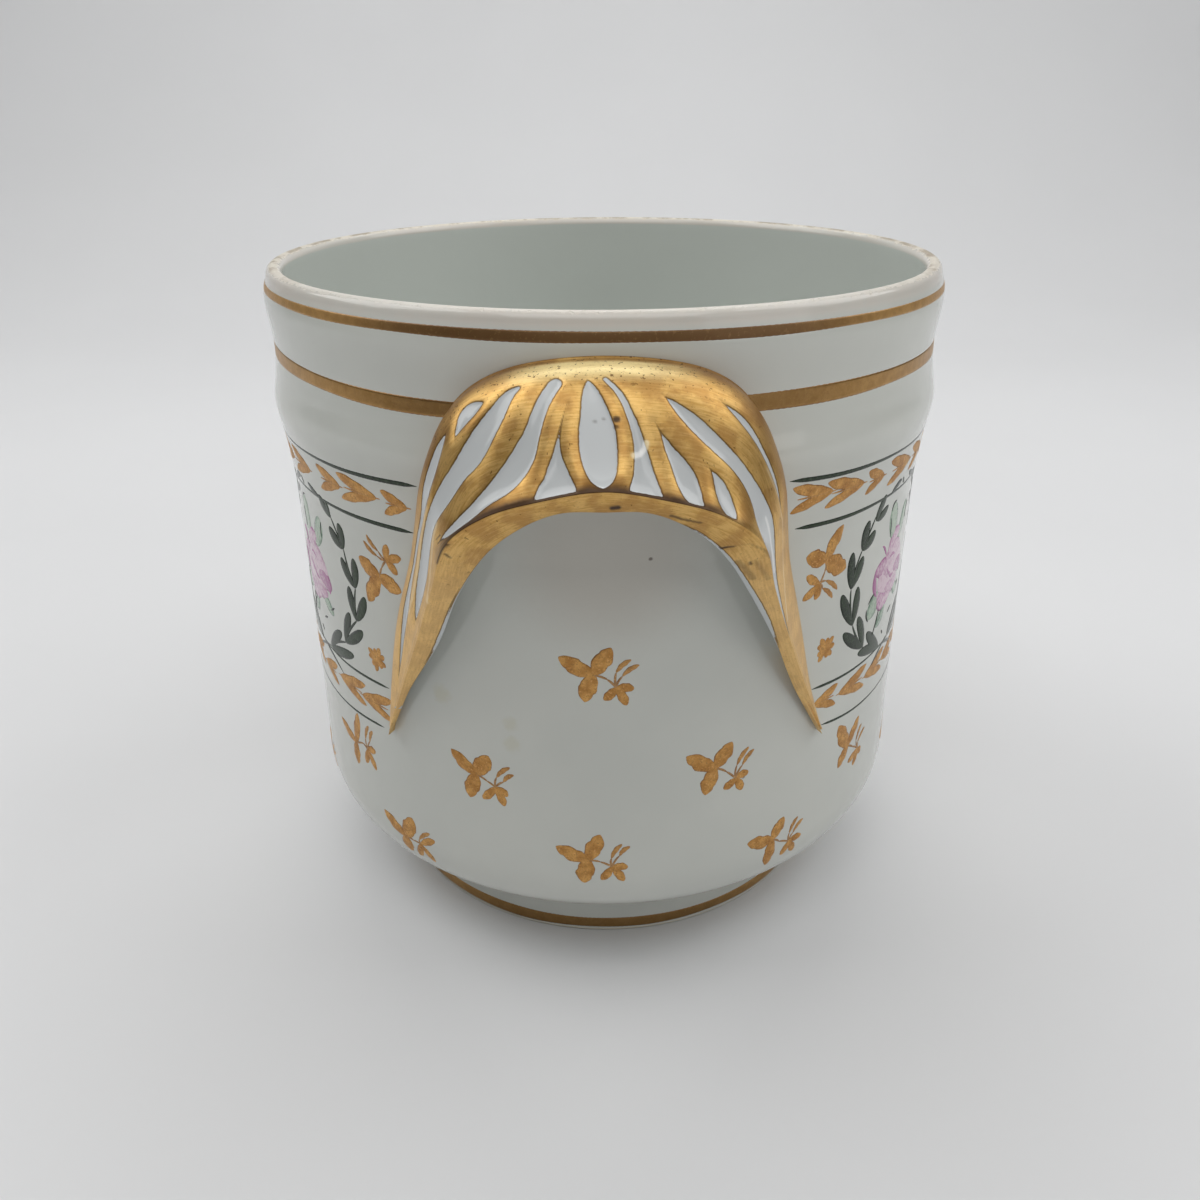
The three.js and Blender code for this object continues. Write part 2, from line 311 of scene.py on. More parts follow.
class Graph:
    """The node tree of a material or world, and the short calls that grow it."""

    def __init__(self, owner: bpy.types.Material | bpy.types.World) -> None:
        """Empties the owner's node tree and starts a new one."""
        owner.use_nodes = True
        self.owner = owner
        self.tree = owner.node_tree
        self.tree.nodes.clear()

    @classmethod
    def of_material(cls, name: str) -> "Graph":
        """The graph of a new material."""
        return cls(bpy.data.materials.new(name))

    def node(self, kind: str, settings: dict[str, object], inputs: dict[str, object],
             output: str | int = 0) -> Value:
        """Adds a node.

        Args:
            kind: The node's type.
            settings: Its settings, set before its sockets.
            inputs: A value or a number for each named socket.
            output: Name or number of the output that is wanted.

        Returns:
            The wanted output.
        """
        made = self.tree.nodes.new(kind)
        for name, setting in settings.items():
            setattr(made, name, setting)
        for name, given in inputs.items():
            socket = next(s for s in made.inputs if name in (s.identifier, s.name))
            if isinstance(given, Value):
                self.tree.links.new(given.socket, socket)
            elif isinstance(given, tuple) and socket.type == "RGBA":
                socket.default_value = (*given, 1.0)
            else:
                socket.default_value = given
        if isinstance(output, str):
            found = next(s for s in made.outputs if output in (s.identifier, s.name))
        else:
            found = made.outputs[output]
        return Value(self, found)

    def mix(self, share: Value | float, a: Value | Colour, b: Value | Colour) -> Value:
        """A colour between a, where share is 0, and b, where it is 1."""
        return self.node(
            "ShaderNodeMix", {"data_type": "RGBA"},
            {"Factor_Float": share, "A_Color": a, "B_Color": b}, "Result_Color",
        )

    def attribute(self, name: str) -> Value:
        """A number stored on the mesh's vertices."""
        return self.node("ShaderNodeAttribute", {"attribute_name": name}, {}, "Fac")

    def place(self) -> Value:
        """The point on the piece, in metres."""
        return self.node("ShaderNodeTexCoord", {}, {}, "Object")

    def distance_along(self, axis: str) -> Value:
        """How far the point on the piece lies along an axis of the pot, in millimetres."""
        return self.node("ShaderNodeSeparateXYZ", {}, {"Vector": self.place()}, axis) * 1000.0

    def vector(self, x: Value | float, y: Value | float, z: Value | float) -> Value:
        """A vector made of three numbers."""
        return self.node("ShaderNodeCombineXYZ", {}, {"X": x, "Y": y, "Z": z})

    def noise(self, size: float, detail: float = 2.0, where: Value | None = None,
              rough: float = 0.5, metres: bool = True) -> Value:
        """Even noise from about 0.25 to 0.75.

        Args:
            size: Size of its features, in millimetres.
            detail: Number of finer layers.
            where: The coordinates, if not the point on the piece.
            rough: How strong the finer layers are.
            metres: Whether the coordinates are metres rather than millimetres.

        Returns:
            The noise.
        """
        scale = (1000.0 if metres else 1.0) / size
        return self.node(
            "ShaderNodeTexNoise", {"noise_dimensions": "3D"},
            {"Vector": where or self.place(), "Scale": scale, "Detail": detail, "Roughness": rough},
            "Fac",
        )

    def bump(self, height: Value, depth: float) -> Value:
        """A normal bent by a height.

        Args:
            height: The height, in parts of the depth.
            depth: Millimetres that a height of 1 stands for.

        Returns:
            The bent normal.
        """
        inputs = {"Strength": 1.0, "Distance": depth * MM, "Height": height}
        return self.node("ShaderNodeBump", {}, inputs)

    def surface(self, inputs: dict[str, object]) -> bpy.types.Material:
        """Ends the material in a Principled surface with these sockets, and returns it."""
        shader = self.node("ShaderNodeBsdfPrincipled", {}, inputs)
        self.node_output("ShaderNodeOutputMaterial", shader)
        return self.owner

    def node_output(self, kind: str, shader: Value) -> None:
        """Links a shader to the tree's output node."""
        self.tree.links.new(shader.socket, self.tree.nodes.new(kind).inputs["Surface"])


@dataclass(frozen=True)
class GlazeFinish:
    """Cool white porcelain under a clear gloss glaze, rubbed warm along the lip.

    Heights and depths are in millimetres, each from where a thing starts to where it is
    full. A blot is (angle, height, radius, strength).
    """

    body: Colour = (0.637, 0.647, 0.598)
    shade: Colour = (0.607, 0.62, 0.575)
    pooled: Colour = (0.628, 0.658, 0.618)
    handled: Colour = (0.70, 0.635, 0.565)
    cream: Colour = (0.66, 0.60, 0.48)
    grime: Colour = (0.26, 0.19, 0.11)
    # Painted shade: the darker, warmer colour of the wall under the lugs.
    lug_shade: Colour = (0.54, 0.505, 0.445)
    clay: Colour = (0.66, 0.62, 0.52)
    stain: Colour = (0.55, 0.52, 0.36)
    speck: Colour = (0.10, 0.07, 0.05)
    rubbed_heights: Span = (157.4, 159.0)
    worn_heights: Span = (160.35, 160.85)
    soiled_heights: Span = (160.62, 160.86)
    bare_heights: Span = (1.4, 1.0)
    far_side: Span = (-62.0, -15.0)
    wall_radius: float = 79.0
    blot_waver: float = 2.4
    roughness: float = 0.09
    # Where the painted shade under the front and rear lug lies.
    lug_shade_blots: tuple[Blot, ...] = ((0, 116, 22, 0.75), (180, 116, 22, 0.75))
    stains: tuple[Blot, ...] = (
        (-27, 78, 2.4, 0.35), (-15, 74, 1.8, 0.3), (-15, 69, 2.2, 0.3),
    )
    specks: tuple[Blot, ...] = (
        (6.5, 113.5, 0.42, 0.8), (23, 57.5, 0.4, 0.7), (-55, 147, 0.35, 0.5),
    )

    def blot(self, graph: Graph, blot: Blot) -> Value:
        """How strongly the glaze is marked by one blot, from 0 to 1."""
        degrees, height, radius, strength = blot
        angle = math.radians(degrees)
        side, depth = self.wall_radius * math.sin(angle), -self.wall_radius * math.cos(angle)
        away = graph.node(
            "ShaderNodeVectorMath", {"operation": "DISTANCE"},
            {"Vector": graph.place(), "Vector_001": (side * MM, depth * MM, height * MM)}, "Value",
        )
        waver = (graph.noise(1.2, 2.0) - 0.5) * min(radius, self.blot_waver)
        return (away * 1000.0 + waver).between(radius * 1.3, radius * 0.4) * strength

    def blots(self, graph: Graph, blots: Iterable[Blot]) -> Value:
        """How strongly the glaze is marked by all of some blots, from 0 to 1."""
        return reduce(Value.at_least, [self.blot(graph, blot) for blot in blots])

    def wall_colour(self, graph: Graph, height: Value, wear: Value) -> Value:
        """The glaze's colour: greener inside, warm near the lip, with painted shade and painted warm
        bounce light under the lugs.

        Args:
            graph: The glaze's graph.
            height: The height on the pot.
            wear: How unevenly the glaze is worn.

        Returns:
            The colour, before the wear of the lip itself.
        """
        clouds = graph.noise(38.0, 3.0).between(0.35, 0.65)
        inside = graph.attribute("inside")
        colour = graph.mix(inside, graph.mix(clouds, self.body, self.shade), self.pooled)
        rubbed = height.between(*self.rubbed_heights) * (1 - inside)
        colour = graph.mix(rubbed * (0.2 + clouds * 0.3 + wear * 0.5), colour, self.handled)
        # Painted shade and painted bounce light: the wall under each lug is darkened and warmed.
        colour = graph.mix(self.blots(graph, self.lug_shade_blots) * (1 - inside), colour, self.lug_shade)
        colour = graph.mix(self.blots(graph, self.stains), colour, self.stain)
        return graph.mix(self.blots(graph, self.specks), colour, self.speck)

    def material(self, name: str) -> bpy.types.Material:
        """Makes the glaze's material."""
        graph = Graph.of_material(name)
        height = graph.distance_along("Z")
        wear = graph.noise(2.2, 4.0, rough=0.65)
        colour = self.wall_colour(graph, height, wear)
        far = graph.distance_along("Y").between(*self.far_side)
        worn = (height + wear * 1.4 - 0.7).between(*self.worn_heights)
        colour = graph.mix(worn * (0.12 + far * 0.5), colour, self.cream)
        chips = graph.noise(1.3, 3.0).between(0.60, 0.66) * worn
        colour = graph.mix(chips * 0.6, colour, self.clay)
        soiled = graph.noise(9.0, 4.0, rough=0.7).between(0.44, 0.58) * far
        soiled = soiled * (height + wear * 0.5 - 0.25).between(*self.soiled_heights)
        colour = graph.mix(soiled * 0.75, colour, self.grime)
        bare = (height + wear * 0.5).between(*self.bare_heights)
        ripple = graph.noise(14.0, 2.0) + graph.noise(2.6, 2.0) * 0.06
        return graph.surface({
            "Base Color": graph.mix(bare, colour, self.clay),
            "Roughness": self.roughness + worn * 0.28 + bare * 0.6,
            "IOR": 1.5,
            "Normal": graph.bump(ripple - chips * 0.4 + graph.noise(0.35, 1.0) * bare * 0.3, 0.22),
        })


class GildedSkin:
    """What the gilding of a lug reads from its mesh, and the noises that it shares."""

    def __init__(self, graph: Graph) -> None:
        """Reads the values on the vertices and adds the noises."""
        self.graph = graph
        self.edge = graph.attribute("gilt")
        self.crease = graph.attribute("crease")
        self.mark = graph.attribute("mark")
        self.glint = graph.attribute("glint")
        self.station = graph.attribute("along")
        self.out = graph.attribute("grain_out")
        self.wobble = graph.noise(0.9, 3.0) - 0.5
        self.grit = graph.noise(0.42, 2.0, rough=0.6)
        self.clouds = graph.noise(5.0, 3.0)
        brush = graph.vector(graph.attribute("grain_along") * 0.09, self.out, 0.0)
        self.strokes = graph.noise(0.4, 3.0, brush, 0.6, metres=False)

    def stations(self, *windows: Window) -> Value:
        """How far a point lies in one of some windows along the lug, from 0 to 1."""
        inside = [self.station.within(window) for window in windows]
        return reduce(Value.__add__, inside)


@dataclass(frozen=True)
class GiltLugFinish:
    """Satin old gold over the lug's skin, bare glaze in its leaf hollows.

    Windows along the lug run from -1 at its left tip, over the crown at 0, to 1 at its
    right tip. Those across it are millimetres from its root.
    """

    glaze: Colour = (0.58, 0.60, 0.60)
    gold: Colour = (0.60, 0.345, 0.095)
    pale: Colour = (0.76, 0.49, 0.17)
    # Colour of the painted highlight on the crown's top.
    highlight_colour: Colour = (1.0, 0.80, 0.38)
    lit: Colour = (0.90, 0.62, 0.28)
    # cream: the painted highlights on the gold; white: the painted lamp reflection on bare glaze.
    cream: Colour = (0.90, 0.74, 0.46)
    white: Colour = (0.97, 0.97, 0.94)
    brown: Colour = (0.05, 0.021, 0.005)
    umber: Colour = (0.15, 0.068, 0.014)
    red: Colour = (0.34, 0.16, 0.055)
    tan: Colour = (0.44, 0.235, 0.095)
    flanks: tuple[Window, ...] = ((-0.62, -0.48, -0.34, -0.20), (0.16, 0.30, 0.46, 0.60))
    # Where the painted shade on the shoulders lies, along the lug.
    shoulder_shade: tuple[Window, ...] = ((-0.34, -0.22, -0.15, -0.05), (0.04, 0.14, 0.20, 0.32))
    # Where the painted highlight lies: along the lug over the crown, and across it from the root.
    crown: Window = (-0.19, -0.05, 0.03, 0.16)
    highlight_across: Window = (1.0, 3.0, 4.8, 8.6)
    creased: Window = (-0.52, -0.34, 0.20, 0.42)
    pinholed: Window = (-0.42, -0.30, 0.18, 0.30)
    flawed: Window = (-0.7, -0.3, 0.3, 0.7)
    leg: Span = (0.36, 0.6)

    def ground(self, skin: GildedSkin) -> Value:
        """The gold's colour: brushed, cloudy, duller on the flanks, with painted light on the legs
        and painted shade on the shoulders.
        """
        graph, station = skin.graph, skin.station
        body = skin.strokes * 0.6 + skin.clouds * 0.4
        colour = graph.mix(body.between(0.40, 0.62), self.gold, self.pale)
        colour = graph.mix(skin.clouds.between(0.56, 0.40) * 0.35, colour, self.red)
        flanks = skin.stations(*self.flanks) * skin.out.between(14.0, 5.0)
        colour = graph.mix(flanks * 0.6, colour, self.tan)
        # Painted light: the legs are lightened in brushed streaks.
        low, high = self.leg
        legs = station.between(-low, -high) + station.between(low, high)
        colour = graph.mix(legs * (0.25 + skin.strokes * 0.5), colour, self.lit)
        # Painted shade: the shoulders beside the crown are toned down to tan.
        shoulder_shade = skin.stations(*self.shoulder_shade) * skin.out.between(6.5, 2.5)
        return graph.mix(shoulder_shade * 0.7, colour, self.tan)

    def flaws(self, skin: GildedSkin, colour: Value) -> Value:
        """Adds the grit, the flaws and the pinholes of the crown to the gold's colour."""
        graph = skin.graph
        colour = graph.mix(skin.grit.between(0.56, 0.70) * 0.28, colour, self.red)
        flaws = graph.noise(0.8, 1.0).between(0.73, 0.77) * skin.stations(self.flawed)
        colour = graph.mix(flaws * 0.7, colour, self.umber)
        pinholes = graph.noise(0.65, 1.0).between(0.665, 0.70) * skin.out.between(12.0, 6.0)
        return graph.mix(pinholes * skin.stations(self.pinholed) * 0.85, colour, self.umber)

    def material(self, name: str) -> bpy.types.Material:
        """Makes the gilt lug's material from the distances kept on its vertices."""
        graph = Graph.of_material(name)
        skin = GildedSkin(graph)
        # Painted highlight: a bright, less metallic patch on the crown's top that stands in for the
        # lamps' reflection.
        painted_highlight = skin.stations(self.crown) * skin.out.within(self.highlight_across)
        painted_highlight = (painted_highlight * (0.1 + skin.strokes * 1.2 + skin.clouds * 0.7)).at_most(1.0)
        colour = self.flaws(skin, graph.mix(painted_highlight, self.ground(skin), self.highlight_colour))
        middle = skin.stations(self.creased)
        shade = (skin.crease + skin.clouds * 2.0).between(6.0, 1.4) * middle
        colour = graph.mix(shade * 0.85, colour, self.umber)
        rim = (skin.edge + skin.wobble * 0.2).between(0.36, 0.08)
        colour = graph.mix(rim * 0.7, colour, self.brown)
        dark_crease = (skin.crease + skin.wobble * 0.8).between(2.0, 0.3) * middle
        colour = graph.mix(dark_crease * 0.9, colour, self.brown)
        # Painted highlights: the light marks turn the gold cream.
        colour = graph.mix(skin.glint, colour, self.cream)
        gilt = (skin.edge + skin.wobble * 0.25).between(-0.08, 0.04)
        colour = graph.mix(gilt, self.glaze, colour)
        # Painted reflection: a light mark on bare glaze turns it white.
        colour = graph.mix(skin.glint * (1 - gilt), colour, self.white)
        satin = 0.22 + skin.strokes * 0.1 + skin.clouds * 0.06 - painted_highlight * 0.08
        relief = skin.strokes * 0.35 + skin.grit * 0.3 + 0.5
        return graph.surface({
            "Base Color": graph.mix(skin.mark, colour, self.brown),
            "Metallic": gilt * (0.82 - dark_crease * 0.4 - painted_highlight * 0.5) * (1 - skin.mark * 0.6),
            "Roughness": 0.12 + gilt * satin,
            "IOR": 1.5,
            "Normal": graph.bump(gilt * relief - skin.mark, 0.05),
        })


@dataclass(frozen=True)
class BrushedGoldFinish:
    """Gold laid with a brush: satin, gritty, darker and redder along its edges."""

    gold: Colour = (0.46, 0.215, 0.05)
    pale: Colour = (0.66, 0.355, 0.10)
    # Painted glints: the colour of the bright specks in the gold's grit.
    painted_glint: Colour = (0.86, 0.54, 0.22)
    edge: Colour = (0.17, 0.065, 0.025)
    thin: Colour = (0.33, 0.21, 0.13)
    metallic: float = 0.55
    roughness: float = 0.38
    grain: float = 0.45
    edge_from: float = 0.5
    edge_strength: float = 0.85
    painted_glints: float = 0.5
    mottle: float = 0.5
    thinning: float = 0.6

    def material(self, name: str) -> bpy.types.Material:
        """Makes the brushed gold's material."""
        graph = Graph.of_material(name)
        edge = graph.attribute("edge")
        tone = graph.attribute("tone")
        grit = graph.noise(self.grain, 2.0, rough=0.6)
        cloud = graph.noise(2.2, 2.0)
        body = cloud * 0.6 + grit * 0.4
        colour = graph.mix(body.between(0.40, 0.60), self.gold, self.pale)
        colour = graph.mix(tone.between(0.4, 0.15) * self.thinning, colour, self.thin)
        rim = (edge + grit * 0.4 - 0.2).between(self.edge_from, 1.0)
        colour = graph.mix(rim * self.edge_strength, colour, self.edge)
        colour = graph.mix(grit.between(0.52, 0.66) * self.mottle, colour, self.edge)
        # Painted highlights: small bright glints scattered through the gold's grit.
        colour = graph.mix(grit.between(0.42, 0.32) * self.painted_glints, colour, self.painted_glint)
        return graph.surface({
            "Base Color": colour,
            "Metallic": self.metallic - rim * 0.25,
            "Roughness": self.roughness + grit * 0.15,
            "Normal": graph.bump(grit, 0.03),
        })


@dataclass(frozen=True)
class EnamelFinish:
    """Overglaze enamel of one hue: thick and dark at its edges, thin in the middle."""

    dark: Colour
    light: Colour
    thin: Colour = (0.62, 0.635, 0.61)
    wash: float = 0.15
    outline: float = 0.55
    gloss: float = 0.5
    roughness: float = 0.14

    def material(self, name: str) -> bpy.types.Material:
        """Makes the enamel's material."""
        graph = Graph.of_material(name)
        edge = graph.attribute("edge")
        tone = graph.attribute("tone")
        streaks = graph.noise(0.8, 3.0, rough=0.6)
        body = (1 - edge) * self.outline + (tone - 0.5) * 0.9 + (streaks - 0.5) * 1.1
        colour = graph.mix(body.between(0.05, 0.75), self.dark, self.light)
        worn = streaks.between(0.62, 0.78) * self.wash
        colour = graph.mix(worn, colour, self.thin)
        return graph.surface({
            "Base Color": colour,
            "Roughness": self.roughness + streaks * 0.08,
            "IOR": 1.5,
            "Specular IOR Level": self.gloss,
            "Normal": graph.bump(streaks, 0.03),
        })


@dataclass(frozen=True)
class PaperFinish:
    """Plain pale studio paper."""

    colour: Colour = (0.726, 0.73, 0.735)

    def material(self, name: str) -> bpy.types.Material:
        """Makes the paper's material."""
        graph = Graph.of_material(name)
        clouds = graph.noise(260.0, 3.0).between(0.3, 0.7)
        darker = tuple(0.975 * part for part in self.colour)
        return graph.surface({
            "Base Color": graph.mix(clouds, self.colour, darker),
            "Roughness": 0.75,
            "Specular IOR Level": 0.25,
            "Normal": graph.bump(graph.noise(0.5, 2.0), 0.01),
        })


class TurnedSurface:
    """A surface of revolution that can be painted on."""

    SLOPE_STEP = 0.4

    def outer(self) -> Array:
        """Points (radius, height) up the outside, from low to high."""
        raise NotImplementedError

    @cached_property
    def outline(self) -> Array:
        """The outside's points, worked out once."""
        return self.outer()

    def radius(self, height: Array) -> Array:
        """Outer radius at a height."""
        return np.interp(height, self.outline[:, 1], self.outline[:, 0])

    def point(self, degrees: Array, height: Array, lift: Array | float = 0.0) -> Array:
        """A point on the surface, or off it.

        Args:
            degrees: Angle round the pot.
            height: Height above the table.
            lift: Distance outwards, square to the surface.

        Returns:
            The point, in millimetres.
        """
        step = self.SLOPE_STEP
        slope = (self.radius(height + step) - self.radius(height - step)) / (2 * step)
        level = 1 / np.sqrt(1 + slope**2)
        angle = np.radians(degrees)
        radius = self.radius(height) + lift * level
        return np.stack(
            [radius * np.sin(angle), -radius * np.cos(angle), height - lift * level * slope], -1
        )


def revolve(profile: Array, segments: int) -> tuple[Array, list[list[int]]]:
    """Turns a closed or axis-to-axis profile about the pot's axis.

    Args:
        profile: Points (radius, height) in order.
        segments: Steps round the axis.

    Returns:
        The vertices and the faces.
    """
    angle = np.arange(segments)[:, None] * 2 * math.pi / segments
    points = np.stack(
        [profile[:, 0] * np.sin(angle), -profile[:, 0] * np.cos(angle),
         np.broadcast_to(profile[:, 1], (segments, len(profile)))], -1
    )
    return points, grid_faces(segments, len(profile), round_rows=True)


@dataclass(frozen=True)
class PotBody(TurnedSurface):
    """The thrown body: curved base, straight wall, ogee collar and rolled lip."""

    top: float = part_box("pot_body")[1].z / MM
    shoulder_radius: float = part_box("pot_body")[1].x / MM
    base_height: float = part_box("pot_body")[0].z / MM
    wall_radius: float = 79.0
    wall_waist: float = 0.2
    wall_middles: tuple[float, ...] = (58, 85)
    belly_radius: float = 79.4
    cove_radius: float = 79.5
    rim_radius: float = 80.4
    shoulder_height: float = 131.0
    shoulder_start: float = 19.0
    shoulder_swell: Spot = (0.8, 8.0)
    collar_hollow: float = 0.2
    cove_height: float = 144.5
    rim_height: float = 154.0
    lip_lean: float = 1.0
    lip_thickness: float = 3.8
    wall_thickness: float = 4.3
    belly_height: float = 35.0
    floor_height: float = 17.5
    floor_radius: float = 54.0
    floor_corner: float = 12.0
    base_radius: float = 61.3
    base_pull: Spot = (8.2, 6.2)
    belly_pull: Spot = (0.2, 12.5)
    inner_shoulder: Spot = (0.5, 2.0)
    inner_wall: Span = (39.0, 111.0)
    inner_corner: float = 25.0
    recess_middle: float = 20.0
    recess_radius: float = 52.0
    recess_rise: float = 1.4
    recess_edge: tuple[Spot, ...] = ((6.0, 0.3), (1.5, 1.0))
    segments: int = 320

    @property
    def lip_height(self) -> float:
        """Height of the lip roll's centre."""
        return self.top - self.lip_thickness / 2

    def outer(self) -> Array:
        """Points (radius, height) up the outside, from the base to the lip."""
        (out, up), (back, down) = self.base_pull, self.belly_pull
        base = bezier(
            [(self.base_radius, self.base_height), (self.base_radius + out, self.base_height + up),
             (self.belly_radius - back, self.belly_height - down),
             (self.belly_radius, self.belly_height)],
            np.linspace(0, 1, 32),
        )
        waist = self.wall_radius - self.wall_waist
        low, high = self.wall_middles
        start = self.shoulder_height - self.shoulder_start
        wall = np.array([
            (self.belly_radius, self.belly_height), (self.wall_radius, low), (waist, high),
            (waist, start),
        ])
        swell, below = self.shoulder_swell
        collar = np.array([
            (waist, start),
            (self.wall_radius + swell, self.shoulder_height - below),
            (self.shoulder_radius, self.shoulder_height),
            ((self.shoulder_radius + self.cove_radius) / 2 - self.collar_hollow,
             (self.shoulder_height + self.cove_height) / 2),
            (self.cove_radius, self.cove_height),
            (self.rim_radius, self.rim_height),
            (self.rim_radius - self.lip_lean, self.lip_height),
        ])
        straight = catmull_rom(wall, np.linspace(0, 1, 46))[1:]
        curved = catmull_rom(collar, np.linspace(0, 1, 61))[1:]
        return np.concatenate([base, straight, curved])

    def inner(self) -> Array:
        """Points (radius, height) down the inside, from the lip to the axis."""
        wall = self.wall_radius - self.wall_thickness
        low, high = self.inner_wall
        back, rise = self.inner_shoulder
        side = catmull_rom(np.array([
            (self.rim_radius - self.lip_lean - self.lip_thickness, self.lip_height),
            (self.shoulder_radius - self.wall_thickness - back, self.shoulder_height + rise),
            (wall, high), (wall, low),
        ]), np.linspace(0, 1, 40))
        corner = bezier(
            [(wall, low), (wall, self.inner_corner),
             (self.floor_radius + self.floor_corner, self.floor_height),
             (self.floor_radius, self.floor_height)],
            np.linspace(0, 1, 26),
        )[1:]
        rings = np.linspace(self.floor_radius, 0.0, 12)[1:]
        floor = np.stack([rings, np.full_like(rings, self.floor_height)], -1)
        return np.concatenate([side, corner, floor])

    def profile(self) -> Array:
        """The whole profile, from the axis below to the axis above the floor."""
        rise = self.base_height + self.recess_rise
        edge = [(self.recess_radius - back, rise - down) for back, down in self.recess_edge]
        underside = np.array([
            (0.0, rise), (self.recess_middle, rise), *edge, (self.recess_radius, self.base_height),
        ])
        radius = self.lip_thickness / 2
        turn = np.linspace(0, math.pi, 15)[1:-1]
        centre = self.rim_radius - self.lip_lean - radius
        lip = np.stack([centre + radius * np.cos(turn), self.lip_height + radius * np.sin(turn)], -1)
        return np.concatenate([underside, self.outline, lip, self.inner()])

    def build(self, glaze: bpy.types.Material) -> None:
        """Makes the body piece in place of its CAD node, with its inside marked."""
        work = MeshWork()
        points, faces = revolve(self.profile()[1:-1], self.segments)
        count = len(points[0])
        ring = np.arange(self.segments) * count
        inside = np.zeros(points.shape[:2])
        inside[:, 1 - len(self.inner()):] = 1
        ends = [ring[::-1].tolist(), (ring + count - 1).tolist()]
        work.add(points, faces + ends, inside=inside)
        work.piece("body_shell", glaze, Slot.GLAZED, "pot_body")


@dataclass(frozen=True)
class FootRing(TurnedSurface):
    """The turned foot ring under the base."""

    top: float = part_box("foot_ring")[1].z / MM
    top_radius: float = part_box("foot_ring")[1].x / MM
    bottom_radius: float = 60.0
    bottom_width: float = 4.2
    top_width: float = 6.4
    edge_radius: float = 0.8
    segments: int = 320

    def outer(self) -> Array:
        """Points (radius, height) up the outside, above the rounded lower edge."""
        knots = np.array([
            (self.bottom_radius, self.edge_radius),
            (self.bottom_radius + 0.2, self.top * 0.6),
            (self.top_radius, self.top),
        ])
        return catmull_rom(knots, np.linspace(0, 1, 20))

    def profile(self) -> Array:
        """The ring's closed section."""
        edge = self.edge_radius
        inner = self.bottom_radius - self.bottom_width
        turn = np.linspace(-math.pi / 2, 0, 6)
        outer_edge = np.stack([
            self.bottom_radius - edge + edge * np.cos(turn), edge + edge * np.sin(turn)], -1)
        inner_edge = np.stack([
            inner + edge - edge * np.cos(turn[::-1]), edge + edge * np.sin(turn[::-1])], -1)
        inner_side = np.array([(self.top_radius - self.top_width, self.top)])
        return np.concatenate([outer_edge[:-1], self.outline, inner_side, inner_edge])

    def build(self, glaze: bpy.types.Material) -> None:
        """Makes the foot ring in place of its CAD node."""
        work = MeshWork()
        profile = self.profile()
        points, _ = revolve(profile, self.segments)
        faces = grid_faces(self.segments, len(profile), round_rows=True, round_columns=True)
        work.add(points, faces)
        work.piece("foot_ring_shell", glaze, Slot.GLAZED, "foot_ring")


Vein = tuple[Point, ...]


@dataclass(frozen=True)
class Rail:
    """A line along the lug, in rows (left, right, height) from the leg tips up to the crown."""

    rows: tuple[Point, ...]

    def at(self, along: Array) -> tuple[Array, Array]:
        """Reads the rail.

        Args:
            along: Places from -1 at the left tip, over the crown, to 1 at the right one.

        Returns:
            The rail's two coordinates.
        """
        left, right, height = np.array(self.rows, float).T
        knots = np.stack([
            np.concatenate([-left, right[-2::-1]]), np.concatenate([height, height[-2::-1]]),
        ], -1)
        both = catmull_rom(knots, (along + 1) / 2)
        return both[..., 0], both[..., 1]


@dataclass(frozen=True)
class SkinMark:
    """A touch on the lug, drawn between places (along, out). Light touches are painted highlights
    and a painted lamp reflection.

    Out runs from 0 at the root to 1 at the ridge, and on to 2 at the lip.
    """

    line: tuple[Spot, ...]
    half_width: float
    strength: float = 1.0
    light: bool = False


@dataclass(frozen=True)
class LugLines:
    """The lines that the sections of a lug are drawn between, one row a station."""

    along: Array
    smooth: Array
    lip: Array
    heel: Array

    @property
    def root(self) -> Array:
        """Where the skin leaves the wall."""
        return self.smooth[:, :1]

    @property
    def ridge(self) -> Array:
        """Where the skin meets the front."""
        return self.smooth[:, -1:]

    @cached_property
    def from_root(self) -> Array:
        """Distance run over the smooth skin from its root."""
        return run_lengths(self.smooth)

    @cached_property
    def from_ridge(self) -> Array:
        """Distance left over the smooth skin to its ridge."""
        return self.from_root[:, -1:] - self.from_root


